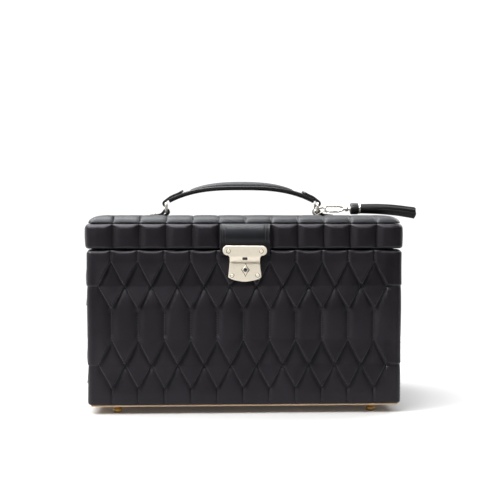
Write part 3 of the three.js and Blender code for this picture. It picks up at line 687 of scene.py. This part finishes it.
# The node's own shape, with its loose triangles joined, flat faces made whole and sharp edges rounded.
def easedCopy(name, node, material, body, bevel, segments=3):
    sharp = math.radians(40)
    work = bmesh.new()
    work.from_mesh(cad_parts[node].data)
    bmesh.ops.remove_doubles(work, verts=work.verts, dist=1e-6)
    bmesh.ops.dissolve_limit(work, angle_limit=math.radians(1), verts=work.verts, edges=work.edges)
    mesh = bpy.data.meshes.new(name)
    work.to_mesh(mesh)
    work.free()
    mesh.shade_smooth()
    mesh.set_sharp_from_angle(angle=sharp)
    mesh.materials.clear()
    mesh.materials.append(material)
    piece = bpy.data.objects.new(name, mesh)
    bpy.context.scene.collection.objects.link(piece)
    edge = piece.modifiers.new("edge", "BEVEL")
    edge.width = bevel * millimetre
    edge.segments = segments
    edge.limit_method = "ANGLE"
    edge.angle_limit = sharp
    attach(piece, body)
    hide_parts(node)


easedCopy("carcass_wrapped", "body_carcass", wrapLeather, "case", 0.8)
easedCopy("lid_carcass_wrapped", "lid_carcass", wrapLeather, "lid", 0.8)
easedCopy("base_tan", "base_panel", tanLeather, "case", 0.4)
easedCopy("body_suede", "body_lining", liningSuede, "case", 0.4)
easedCopy("lid_suede", "lid_lining", liningSuede, "lid", 0.4)
easedCopy("well_compartments", "well_insert", liningSuede, "case", 0.9)
easedCopy("tray_lower_compartments", "lower_tray", liningSuede, "tray_lower", 0.9)
easedCopy("tray_upper_compartments", "upper_tray", liningSuede, "tray_upper", 0.9)
easedCopy("mirror_surround", "mirror_frame", strapLeather, "lid", 0.6)
easedCopy("mirror_plate", "mirror_glass", mirrorSilver, "lid", 0.5)
for side in ("left", "right"):
    easedCopy(f"hinge_{side}_case_leaf", f"hinge_body_leaf_{side}", paleGold, "case", 0.25)
    easedCopy(f"hinge_{side}_lid_leaf", f"hinge_lid_leaf_{side}", paleGold, "lid", 0.25)
    easedCopy(f"hinge_{side}_pin", f"hinge_pin_{side}", paleGold, "case", 0.2)
easedCopy("lock_body", "lock_case", lockSteel, "case", 0.3)
easedCopy("lock_cylinder", "key_cylinder", lockSteel, "cylinder", 0.15, 2)
easedCopy("lock_cam_arm", "lock_cam", lockSteel, "cylinder", 0.15, 2)
print("inside and fittings eased")


rollEnd = 2.2  # how far in from each end a roll's section has reached its full size


# A ring roll: a rounded bolster along x, whose section narrows at both ends, as stuffing pulled in by a seam.
def rollPart(node, seed):
    low, high = span(node)
    x = np.linspace(low[0], high[0], 60)
    end = np.minimum(np.minimum(x - low[0], high[0] - x), rollEnd)
    full = np.sqrt(np.clip(1 - ((rollEnd - end) / rollEnd) ** 2, 0.02, 1))
    middleY, halfY = (low[1] + high[1]) / 2, (high[1] - low[1]) / 2
    middleZ, halfZ = (low[2] + high[2]) / 2, (high[2] - low[2]) / 2
    turn = np.linspace(0, 2 * math.pi, 40, endpoint=False)
    y = np.sign(np.cos(turn)) * np.abs(np.cos(turn)) ** 0.55 * halfY
    z = np.sign(np.sin(turn)) * np.abs(np.sin(turn)) ** 0.75 * halfZ
    points = np.stack(np.broadcast_arrays(x[:, None], middleY + y * (0.86 + 0.14 * full[:, None]),
                                          middleZ + z * (0.8 + 0.2 * full[:, None])), -1)
    spread = points - np.array([0, middleY, middleZ])
    spread[..., 0] = 0
    points = points - unit(spread) * 0.25 * (1 + drift(points, 30, seed))[..., None]
    return tube(points)


for number in range(1, 5):
    piece = makePiece(f"ring_bolster_{number}", [rollPart(f"ring_roll_{number}", 20 + number)], rollSuede,
                      "tray_upper", [f"ring_roll_{number}"])


# The watch cushion: a crowned pillow whose sides pull in between its corners.
def cushionPart(node):
    low, high = span(node)
    middle, half = (low + high) / 2, (high - low) / 2
    v = np.linspace(-math.pi / 2 + 0.04, math.pi / 2 - 0.04, 40)[:, None]
    u = np.linspace(0, 2 * math.pi, 72, endpoint=False)[None]
    power = lambda value, exponent: np.sign(value) * np.abs(value) ** exponent
    ring = power(np.cos(v), 0.45)
    corner = 1 - 0.07 * np.cos(2 * u) ** 2 * np.ones_like(v)
    x = middle[0] + half[0] * ring * power(np.cos(u), 0.6) * corner
    y = middle[1] + half[1] * ring * power(np.sin(u), 0.6) * corner
    z = middle[2] + half[2] * power(np.sin(v), 0.8) * np.ones_like(u)
    points = np.stack([x, y, z], -1)
    points = points + unit(points - middle) * (0.4 * drift(points, 40, 31) - 0.5)[..., None]
    return tube(points)


cushion = cushionPart("watch_cushion")
piece = makePiece("bracelet_cushion", [cushion], rollSuede, "case", ["watch_cushion"])
print("rolls and cushion made")


def footPart(node):
    low, high = span(node)
    middle = (low + high) / 2
    radius = (high[0] - low[0]) / 2
    tall = high[2] - low[2]
    profile = [(0.3, 0), (0.62, 0), (0.74, 0.03), (0.9, 0.1), (0.985, 0.22), (1.0, 0.34), (0.97, 0.46),
               (0.86, 0.57), (0.7, 0.64), (0.62, 0.7), (0.6, 0.78), (0.66, 0.86), (0.66, 1.0), (0.3, 1.0)]
    points = [(r * radius, h * tall) for r, h in profile]
    return turned(points, (middle[0], middle[1], low[2]), up, 48)


for end in ("front", "back"):
    for side in ("left", "right"):
        makePiece(f"foot_{end}_{side}_turned", [footPart(f"foot_{end}_{side}")], footBrass, "case",
                  [f"foot_{end}_{side}"], crease=50)


tabUser = {
    "halfWidth": 25.85, "thickness": 2.0,
    "stitchInsets": (2.0, 5.0), "stitchPitch": 2.3, "threadRadius": 0.38, "sewnDepth": 0.65,
}
tabLow, tabHigh = span("lock_tab")
flapLow, flapHigh = span("hasp_flap")
tabMiddle = (tabLow[1] + tabHigh[1]) / 2


# The tab: one strap from under the pad, over the skirt's rolled top edge and down the front, past the hinge
# line to its end behind the hasp plate.
def tabPath():
    z = np.r_[tabCurveUser["top"] - 0.05, np.linspace(tabCurveUser["top"] - 0.3, flapLow[2] + 0.6, 60)]
    y = tabMiddle + tabCurve(z)
    path = np.vstack([[y[0] + 2.5, z[0] + 0.1], np.c_[y, z]])
    return np.c_[np.zeros(len(path)), path]


path = eased(tabPath(), 0.6, 2)
tabPart = strap(path, right, 2 * tabUser["halfWidth"], tabUser["thickness"], corner=0.75, flats=41)
tabPoints = tabPart[0]
curved = tabMiddle + tabCurve(tabPoints[:, 2])
frontness = smoothStep(0.1, 0.5, curved - tabPoints[:, 1])
for inset in tabUser["stitchInsets"]:
    away = np.abs(np.abs(tabPoints[:, 0]) - (tabUser["halfWidth"] - inset))
    tabPoints[:, 1] += tabUser["sewnDepth"] * np.exp(-((away / 0.6) ** 2)) * frontness
tabPiece = makePiece("lock_tab_leather", [tabPart], tabLeather, None, ["lock_tab", "hasp_flap"])
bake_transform(tabPiece)


def tabStitches(sign, inset, zTop, zBottom):
    z = along(np.array([[zTop], [zBottom]]), tabUser["stitchPitch"])[:, 0]
    x = sign * (tabUser["halfWidth"] - inset)
    face = tabMiddle - tabUser["thickness"] / 2 + 0.2
    starts = np.c_[np.full(len(z) - 1, x), face + tabCurve(z[:-1] - 0.3), z[:-1] - 0.3]
    ends = np.c_[np.full(len(z) - 1, x), face + tabCurve(z[1:] + 0.3), z[1:] + 0.3]
    return stitches(starts, ends, np.tile(-back, (len(starts), 1)), tabUser["threadRadius"])


tabThread = [tabStitches(sign, inset, tabHigh[2] - 0.9, flapHigh[2] + 3.0)
             for sign in (-1, 1) for inset in tabUser["stitchInsets"]]
makePiece("tab_stitching", tabThread, thread, "lid")


# A plate facing the front: outline points (x, z) run once round, and bevel rounds its front edge over. The
# front is made of rings that shrink towards hub, and shape gives it a y offset for each x and z.
def platePart(outline, yFront, yBack, bevel, shape=None, hub=None, rounds=5, rings=16):
    outline = np.asarray(outline, float)
    hub = outline.mean(0) if hub is None else np.asarray(hub, float)
    heading = unit(np.roll(outline, -1, 0) - np.roll(outline, 1, 0))
    inward = np.c_[-heading[:, 1], heading[:, 0]]
    area = np.sum(outline[:, 0] * np.roll(outline[:, 1], -1) - outline[:, 1] * np.roll(outline[:, 0], -1))
    inward *= np.sign(area)
    rows = [(0, 1, yBack)]
    turn = np.linspace(0, math.pi / 2, rounds)
    rows += [(bevel * (1 - math.cos(a)), 1, yFront + bevel * (1 - math.sin(a))) for a in turn]
    rows += [(bevel, share, yFront) for share in np.linspace(0.97, 0.02, rings)]
    sections = []
    for inset, share, y in rows:
        xz = hub + (outline + inward * inset - hub) * share
        bend = shape(xz[:, 0], xz[:, 1]) if shape is not None else 0
        sections.append(np.c_[xz[:, 0], np.full(len(xz), y) + bend, xz[:, 1]])
    return tube(np.array(sections))


# Corners of a broken outline replaced by arcs: each corner is (x, z, radius).
def roundedOutline(corners, step=0.35):
    points = []
    count = len(corners)
    for i, (x, z, radius) in enumerate(corners):
        here = np.array([x, z], float)
        before = unit(np.array(corners[i - 1][:2], float) - here)
        after = unit(np.array(corners[(i + 1) % count][:2], float) - here)
        if radius <= 0:
            points.append(here)
            continue
        half = math.acos(np.clip(before @ after, -1, 1)) / 2
        reach = radius / math.tan(half)
        centre = here + unit(before + after) * radius / math.sin(half)
        first, last = here + before * reach - centre, here + after * reach - centre
        a0, a1 = math.atan2(first[1], first[0]), math.atan2(last[1], last[0])
        swing = (a1 - a0 + math.pi) % (2 * math.pi) - math.pi
        for angle in np.linspace(a0, a0 + swing, max(3, int(abs(swing) * radius / step) + 2)):
            points.append(centre + radius * np.array([math.cos(angle), math.sin(angle)]))
    points = np.array(points)
    return along(np.vstack([points, points[:1]]), step)[:-1]


plateLow, plateHigh = span("lock_plate")
lockX = scaleUser["lockMid"]
# Corners as (x from the lock's middle, z, radius).
haspCorners = [
    (-23.0, 177.3, 5.0), (23.0, 176.9, 5.0), (23.0, 166.9, 4.9), (17.2, 166.9, 1.2), (15.6, 164.3, 1.0),
    (15.7, 160.9, 0.5), (-15.7, 160.9, 0.5), (-15.6, 164.3, 1.0), (-17.2, 167.3, 1.2), (-23.0, 167.3, 4.9),
]
lockCorners = [
    (-15.9, 165.8, 0.3), (15.9, 165.8, 0.3), (15.7, 160.0, 2.0), (17.3, 144.2, 1.6), (11.5, 141.4, 14.0),
    (0.0, 139.4, 24.0), (-11.5, 141.4, 14.0), (-17.3, 144.2, 1.6), (-15.7, 160.0, 2.0),
]
slotCorners = [(-2.6, 162.3, 0.5), (2.6, 162.3, 0.5), (2.6, 165.2, 0.5), (-2.6, 165.2, 0.5)]


def lockOutline(corners, step=0.35):
    return roundedOutline([(lockX + x, z, radius) for x, z, radius in corners], step)


haspFront = span("hasp_plate")[0][1]
lip = lambda x, z: -0.45 * smoothStep(166.6, 161.5, z)
haspPart = platePart(lockOutline(haspCorners), haspFront, haspFront + 1.2, 0.55, lip, (lockX, 168.5))
makePiece("hasp_plate_gold", [haspPart], paleGold, "hasp", ["hasp_plate"], crease=35)
lockPart = platePart(lockOutline(lockCorners), plateLow[1], plateHigh[1], 0.5)
makePiece("lock_plate_gold", [lockPart], paleGold, "case", ["lock_plate"], crease=35)
keyLow, keyHigh = span("key_cylinder")
keyX, keyZ, keyFront = (keyLow[0] + keyHigh[0]) / 2, (keyLow[2] + keyHigh[2]) / 2, keyLow[1]


# The escutcheon: a raised diamond with hollow sides round the key's cylinder.
def escutcheonOutline(tall, wide):
    angle = np.linspace(0, 2 * math.pi, 96, endpoint=False)
    reach = 1 / (np.abs(np.cos(angle)) ** 0.85 + np.abs(np.sin(angle)) ** 0.85) ** (1 / 0.85)
    return np.c_[keyX + wide * reach * np.cos(angle), keyZ + tall * reach * np.sin(angle)]


middle = (keyX, keyZ)
escutcheon = platePart(escutcheonOutline(6.3, 3.6), plateLow[1] - 0.5, plateLow[1] + 0.3, 0.25, hub=middle)
makePiece("lock_escutcheon", [escutcheon], paleGold, "case", (), crease=35)
# Painted shadow: a dark sheet a little larger than the escutcheon, just behind it, stands in for the shade
# round its edge.
shade = platePart(escutcheonOutline(7.3, 4.5), plateLow[1] - 0.04, plateLow[1] + 0.3, 0.02, hub=middle)
makePiece("escutcheon_shadow", [shade], paintedLockShade, "case", (), crease=35)
# The keyhole is painted shade: a dark sheet in its shape on the cylinder's front stands in for the shade
# inside the hole.
roundHole = np.linspace(math.radians(-60), math.radians(240), 20)
keyhole = np.c_[keyX + 0.9 * np.cos(roundHole), keyZ + 0.6 + 0.9 * np.sin(roundHole)]
keyhole = np.vstack([keyhole, [[keyX - 0.6, keyZ - 1.8], [keyX + 0.6, keyZ - 1.8]]])
keyPart = platePart(keyhole, keyFront - 0.05, keyFront + 0.3, 0.02, hub=(keyX, keyZ + 0.3))
makePiece("keyhole_shadow", [keyPart], paintedLockShade, "cylinder", (), crease=35)
faceProfile = [(0.2, 0.6), (2.15, 0.6), (2.15, -0.25), (1.9, -0.45), (0.2, -0.45)]
keyFace = turned(faceProfile, (keyX, keyFront + 0.45, keyZ), back, 32)
makePiece("lock_cylinder_face", [keyFace], paleGold, "cylinder", (), crease=35)
# The hasp's slot is painted shade: a dark sheet in its shape, just in front of the plate, stands in for the
# shade in the opening.
slotPart = platePart(lockOutline(slotCorners, 0.25), haspFront - 0.03, haspFront + 0.5, 0.02, lip)
makePiece("hasp_slot_shadow", [slotPart], paintedLockShade, "hasp", (), crease=35)
print("plates made")


handleUser = {"strapWidth": 19.0, "strapThick": 4.6, "gripWidth": 15.0, "ringWire": 1.4}
gripHalf = span("handle_grip")[1][0]
ringLow, ringHigh = span("handle_ring_right")
ringX = (ringLow[0] + ringHigh[0]) / 2
ringBarLow, ringBarHigh = ringLow[2] + 1.2, ringHigh[2] - 1.2
archPower, archDrop, archEnd = 2.9, 15.7, 84.6
archMiddle = span("handle_strap")[1][2] - handleUser["strapThick"]


def archZ(x):
    return archMiddle - archDrop * np.abs(x / archEnd) ** archPower


strapEnd = ringX - 3.0
x = np.linspace(-strapEnd, strapEnd, 90)
strapPath = np.c_[x, np.zeros_like(x), archZ(x) + 2.3]
handleStrap = strap(strapPath, back, handleUser["strapWidth"], handleUser["strapThick"], 1.3, 0.15)
makePiece("handle_strap_leather", [handleStrap], strapLeather, "handle", ["handle_strap"])

# The grip: a half ellipse across the strap, thickest in the middle and closing fast at both ends.
x = np.linspace(-gripHalf, gripHalf, 90)
swell = np.sqrt(np.clip(1 - (np.abs(x) / gripHalf) ** 6, 0.0, 1))
thick = 1.0 + (0.7 + 3.2 * np.cos(x / gripHalf * 1.35)) * swell
base = archZ(x) + 4.5
gripWide = handleUser["gripWidth"] * (0.72 + 0.28 * swell)
turn = np.linspace(0, math.pi, 31)
gripY = -gripWide[:, None] / 2 * np.cos(turn)
gripZ = base[:, None] + thick[:, None] * np.sin(turn) ** 0.9
gripPart = tube(np.stack([x[:, None] + 0 * turn, gripY, gripZ], -1))
piece = makePiece("handle_padded_grip", [gripPart], padLeather, "handle", ["handle_grip"])


# The strap's folded end: from under the ring's upper bar round its outer side and back along the strap's top
# to a tip that stands a little clear.
def endPart(way, tipRise, tipX):
    reach = 2.9
    turn = np.linspace(math.radians(-80), math.radians(62), 20)
    loop = np.c_[ringX + 0.5 + reach * np.cos(turn), ringBarHigh - 0.2 + reach * np.sin(turn)]
    on = np.linspace(80.5, tipX + 5, 5)
    flap = np.c_[on, archZ(on) + 5.7]
    tip = [[tipX + 2.5, archZ(tipX + 2.5) + 5.9 + tipRise * 0.3], [tipX, archZ(tipX) + 6.1 + tipRise]]
    path = eased(np.concatenate([loop, flap, tip]), 0.6, 8)
    path = np.c_[way * path[:, 0], np.zeros(len(path)), path[:, 1]]
    run = np.linspace(0, 1, len(path))
    wide = 18.6 - 5.5 * smoothStep(0.9, 1.0, run)
    return strap(path, back * way, wide, 2.4 - 0.7 * smoothStep(0.9, 1, run), corner=0.6)


for side, way, rise, tipX in (("left", -1, 1.0, 66.0), ("right", 1, 0.9, 69.0)):
    fold = endPart(way, rise, tipX)
    makePiece(f"handle_{side}_fold", [fold], strapLeather, "handle", [f"handle_end_{side}"])


ringUser = {"halfWidth": 13.5, "corner": 2.6}


# A ring: a round wire round a flat loop with round corners, standing across the case.
def ringPart(x):
    halfY, halfZ, corner = ringUser["halfWidth"], (ringBarHigh - ringBarLow) / 2, ringUser["corner"]
    middle = (ringBarHigh + ringBarLow) / 2
    outline = roundedOutline([(halfY, halfZ, corner), (-halfY, halfZ, corner), (-halfY, -halfZ, corner),
                              (halfY, -halfZ, corner)], 0.5)
    path = np.c_[np.full(len(outline), x), outline[:, 0], outline[:, 1] + middle]
    return bar(path, right, handleUser["ringWire"], 18, True)


for side, way in (("left", -1), ("right", 1)):
    wire = ringPart(way * ringX)
    makePiece(f"ring_{side}_wire", [wire], brightGold, f"ring_{side}", [f"handle_ring_{side}"])


chapeUser = {"loopRadius": 2.75, "width": 17.6, "thick": 2.8, "topThinner": 1.4, "underThinner": 1.6}


# A chape: a strap folded round the ring's lower bar, with both layers running outwards along the pad.
def chapePart(way):
    user, low = chapeUser, span("chape_right")[0]
    turn = np.linspace(math.radians(-120), math.radians(-300), 20)
    radius = user["loopRadius"]
    loop = np.c_[ringX + radius * np.cos(turn), ringBarLow + 0.2 + radius * np.sin(turn)]
    under = np.array([[ringX + 14.0, low[2] + 0.5], [ringX + 8, low[2] + 0.5], [ringX + 1.5, low[2] + 0.6]])
    over = np.array([[ringX + 3.6, low[2] + 3.6], [ringX + 5.8, low[2] + 1.9], [ringX + 8, low[2] + 1.5],
                     [ringX + 12, low[2] + 1.3], [ringX + 18, low[2] + 0.9]])
    path = eased(np.concatenate([under, loop, over]), 0.7, 5)
    path = np.c_[way * path[:, 0], np.zeros(len(path)), path[:, 1]]
    run = np.linspace(0, 1, len(path))
    thick = user["thick"] - user["topThinner"] * smoothStep(0.62, 0.9, run)
    thick = thick - user["underThinner"] * smoothStep(0.3, 0.12, run)
    return strap(path, back * way, user["width"], thick, corner=0.4)


for side, way in (("left", -1), ("right", 1)):
    makePiece(f"chape_{side}_leather", [chapePart(way)], strapLeather, "lid", [f"chape_{side}"])


# A low domed rivet with a thin rim.
def rivetPart(place, axis, radius=1.85, tall=0.3):
    profile = [(radius, -0.4), (radius, 0.12), (radius * 0.93, 0.24), (radius * 0.84, 0.24),
               (radius * 0.78, 0.3), (radius * 0.6, tall * 0.78), (radius * 0.35, tall * 0.95),
               (radius * 0.08, tall)]
    return turned(profile, place, axis, 28)


# Painted shadow: a dark ring round a rivet's head, standing in for the shade at its edge.
def shadowRing(place, axis, radius=2.35):
    profile = [(radius, -0.3), (radius, 0.03), (radius - 0.1, 0.05), (radius - 0.5, 0.05)]
    return turned(profile, place, axis, 28)


# Each pair of rivets: its plate's name, the body, half the spacing, and the place's y and z.
rivetPairs = [("hasp", "hasp", 17.0, haspFront, 171.5), ("lock", "case", 13.3, plateLow[1], 146.4)]
for plate, body, reach, y, z in rivetPairs:
    for side, way in (("left", -1), ("right", 1)):
        place = (lockX + way * reach, y, z)
        rivet, ring = rivetPart(place, -back), shadowRing(place, -back)
        makePiece(f"{plate}_{side}_rivet", [rivet], paleGold, body, [f"{plate}_rivet_{side}"],
                  crease=30)
        makePiece(f"{plate}_{side}_rivet_shadow", [ring], paintedLockShade, body, ())
for side in ("left", "right"):
    low, high = span(f"chape_screw_{side}")
    screw = rivetPart(((low[0] + high[0]) / 2, 0, low[2] + 0.1), up, 2.3, 1.0)
    makePiece(f"chape_{side}_screw", [screw], brightGold, "lid", [f"chape_screw_{side}"],
              crease=30)
print("handle made")


tasselUser = {"strips": 66, "stripWidth": 2.5, "stripThick": 0.95, "seed": 5}
capEnd = span("tassel_cap")[1][0]
fringeLow, fringeHigh = span("tassel_fringe")
bandLow, bandHigh = span("tassel_band")
tasselY = (bandLow[1] + bandHigh[1]) / 2
tasselZ = (bandLow[2] + bandHigh[2]) / 2


# The fringe: narrow strips side by side in rings; each follows the tassel's drooping middle line, keeping
# its own place across it, and wanders a little.
def fringeParts():
    user = tasselUser
    dice = np.random.default_rng(user["seed"])
    parts = []
    t = np.linspace(0, 1, 18)
    length = fringeHigh[0] - fringeLow[0]
    sag = -4.6 * smoothStep(0.1, 1.15, t) * t
    golden = math.pi * (3 - math.sqrt(5))
    for number in range(user["strips"]):
        reach = math.sqrt((number + 0.5) / user["strips"])
        angle = number * golden
        spreadY = 4.9 + 3.2 * t
        spreadZ = 5.0 + 1.2 * t
        wobble = dice.uniform(-1, 1, 4)
        y = tasselY + reach * math.cos(angle) * spreadY + 0.5 * wobble[0] * t * np.sin(3 * t + wobble[1])
        z = tasselZ + sag + reach * math.sin(angle) * spreadZ
        z = z + 0.35 * wobble[2] * t * np.sin(4 * t + wobble[3])
        x = fringeLow[0] - 0.6 + (length + 0.6 - 2.2 * dice.uniform(0, 1) ** 2) * t
        twist = angle + math.pi / 2 + 0.5 * wobble[1] * t
        across = np.stack([np.zeros_like(t), np.cos(twist), np.sin(twist)], -1)
        path = np.c_[x, y, z]
        parts.append(strap(path, across, user["stripWidth"], user["stripThick"], corner=0.22, arc=2, flats=3))
    return parts


makePiece("tassel_leather_fringe", fringeParts(), fringeLeather, "tassel", ["tassel_fringe"], crease=45)
tasselMid = (capEnd, tasselY, tasselZ)
capProfile = [(3.2, -9.3), (5.6, -9.0), (6.3, -8.3), (6.45, -7.2), (6.35, -1.6), (6.1, -0.5), (5.4, 0.0),
              (2.0, 0.0)]
capPart = turned(capProfile, tasselMid, right, 44)
makePiece("tassel_leather_cap", [capPart], strapLeather, "tassel", ["tassel_cap"], crease=60)
swivelProfile = [(0.9, -17.4), (1.7, -17.0), (2.0, -16.2), (1.5, -15.2), (2.7, -14.8), (3.0, -13.8),
                 (2.9, -12.0), (2.2, -11.3), (1.5, -11.0), (1.6, -10.2), (2.6, -9.9), (3.2, -9.4),
                 (3.2, -8.8)]
swivelPart = turned(swivelProfile, tasselMid, right, 32)
makePiece("tassel_swivel", [swivelPart], brightGold, "tassel", (), crease=50)
bandProfile = [(2.0, -0.2), (5.1, -0.2), (5.6, 0.1), (5.75, 0.9), (5.6, 1.7), (5.1, 2.0), (2.0, 2.0)]
bandPart = turned(bandProfile, (bandLow[0], tasselY, tasselZ), right, 44)
makePiece("tassel_gold_band", [bandPart], brightGold, "tassel", ["tassel_band"], crease=50)
claspUser = {"wire": 1.0, "bodyWire": 1.35, "hookRadius": 3.3}


# The clasp: a hook round the ring's lower bar that runs on into a loop shaped like a drop, both of wire.
def claspParts():
    turn = np.linspace(math.radians(75), math.radians(330), 26)
    reach = claspUser["hookRadius"]
    hook = np.c_[ringX + reach * np.cos(turn), ringBarLow + reach * np.sin(turn)]
    arm = [[ringX + 6.0, ringBarLow + 0.6], [ringX + 8.6, tasselZ - 1.6]]
    last = capEnd - 16.4
    drop = [(ringX + 7.4, tasselZ - 0.2), (ringX + 10.5, tasselZ + 3.2), (last - 6.5, tasselZ + 3.0),
            (last - 0.9, tasselZ + 1.3), (last, tasselZ), (last - 0.9, tasselZ - 1.3),
            (last - 6.5, tasselZ - 3.0), (ringX + 10.5, tasselZ - 3.0)]
    hookPath = eased(np.concatenate([hook, arm]), 0.6, 4)
    dropPath = roundedOutline([(x, z, 2.0) for x, z in drop], 0.6)
    place = lambda xz: np.c_[xz[:, 0], np.full(len(xz), tasselY), xz[:, 1]]
    hookWire = bar(place(hookPath), back, claspUser["wire"], 12)
    dropWire = bar(place(dropPath), back, claspUser["bodyWire"], 14, True)
    return [hookWire, dropWire]


makePiece("clasp_wire", claspParts(), brightGold, "tassel", ["clasp_hook"])
easedCopy("clasp_lever", "clasp_gate", brightGold, "gate", 0.3)
print("tassel made")


def stagePlane():
    mesh = bpy.data.meshes.new("floor")
    mesh.from_pydata([(-3, -0.47, 0), (3, -0.47, 0), (3, 0.62, 0), (-3, 0.62, 0)], [], [(0, 1, 2, 3)])
    floor = bpy.data.objects.new("floor", mesh)
    bpy.context.scene.collection.objects.link(floor)
    # The floor glows faintly through its emission: painted light that lifts the shadows on it, and a little
    # of the shade under the case.
    settings = {"Specular IOR Level": 0.1, "Roughness": 0.9, "Emission Strength": 0.03,
                "Emission Color": (1, 1, 1, 1)}
    material, tree, shader, place = startMaterial("pale floor", settings)
    tint = addRamp(tree, noise(tree, place, 1.5, 2.0), [(0.3, 0.4), (0.7, 0.41)])
    tree.links.new(tint, shader.inputs["Base Color"])
    mesh.materials.append(material)


stagePlane()

lightUser = {
    # name: (place, aims at, size x, size y, watts, colour)
    "overhead": ((-0.6, 0.25, 1.5), (-0.25, 0.15, 0.15), 1.6, 1.7, 66, (1.0, 1.0, 1.0)),
    "high front": ((-0.45, -0.95, 1.5), (-0.05, 0, 0.15), 1.5, 0.4, 34, (1.0, 1.0, 1.0)),
    "key": ((-1.3, -0.82, 1.2), (0, 0, 0.12), 0.45, 0.45, 27, (1.0, 0.985, 0.97)),
    "right wash": ((0.85, 0.45, 0.9), (0.36, 0.12, 0.0), 0.6, 0.6, 11, (1.0, 1.0, 1.0)),
    "front": ((0.1, -2.2, 1.0), (0, 0, 0.12), 1.3, 0.6, 1.2, (1.0, 0.99, 0.98)),
}
for name, (place, aim, sizeX, sizeY, watts, colour) in lightUser.items():
    lamp = bpy.data.lights.new(name, "AREA")
    lamp.shape = "RECTANGLE"
    lamp.size, lamp.size_y, lamp.energy, lamp.color = sizeX, sizeY, watts, colour
    holder = bpy.data.objects.new(name, lamp)
    holder.location = place
    holder.rotation_euler = (Vector(aim) - Vector(place)).to_track_quat("-Z", "Y").to_euler()
    bpy.context.scene.collection.objects.link(holder)

# The room: brighter upwards, and dimmer on the camera's side than behind the case, as what the leather
# mirrors. Seen directly it is pale all round.
world = bpy.data.worlds.new("studio")
world.use_nodes = True
tree = world.node_tree
background = tree.nodes["Background"]
ray = addNode(tree, "ShaderNodeTexCoord").outputs["Generated"]
heading = addNode(tree, "ShaderNodeSeparateXYZ", {"Vector": ray})
height = rescaled(tree, heading.outputs["Z"], -0.1, 1.0, 0.0, 1.0)
dim = addRamp(tree, height, [(0.0, 0.02), (0.15, 0.035), (0.5, 0.18), (1.0, 0.6)])
behind = rescaled(tree, heading.outputs["Y"], -0.1, 0.35, 0.0, 1.0)
seen = addNode(tree, "ShaderNodeLightPath").outputs["Is Camera Ray"]
paleShare = combined(tree, behind, seen, "MAXIMUM")
sockets = {"Factor": paleShare, "A": dim, "B": (1.08, 1.08, 1.08, 1)}
room = addNode(tree, "ShaderNodeMix", sockets, data_type="RGBA")
tree.links.new(room.outputs["Result"], background.inputs["Color"])
background.inputs["Strength"].default_value = 1.0
bpy.context.scene.world = world
bpy.context.scene.view_settings.view_transform = "Standard"

cameraUser = {"place": (-44.77, -1202.5, 208.01), "yaw": 2.586, "down": 4.552, "lens": 76.1, "shift": 0.1}
lens = bpy.data.cameras.new("camera")
lens.lens = cameraUser["lens"]
lens.sensor_width = 36
lens.shift_y = cameraUser["shift"]
camera = bpy.data.objects.new("camera", lens)
camera.location = np.array(cameraUser["place"]) * millimetre + caseMid
yaw, down = math.radians(cameraUser["yaw"]), math.radians(cameraUser["down"])
look = Vector((math.sin(yaw) * math.cos(down), math.cos(yaw) * math.cos(down), -math.sin(down)))
camera.rotation_euler = look.to_track_quat("-Z", "Y").to_euler()
bpy.context.scene.collection.objects.link(camera)
bpy.context.scene.camera = camera
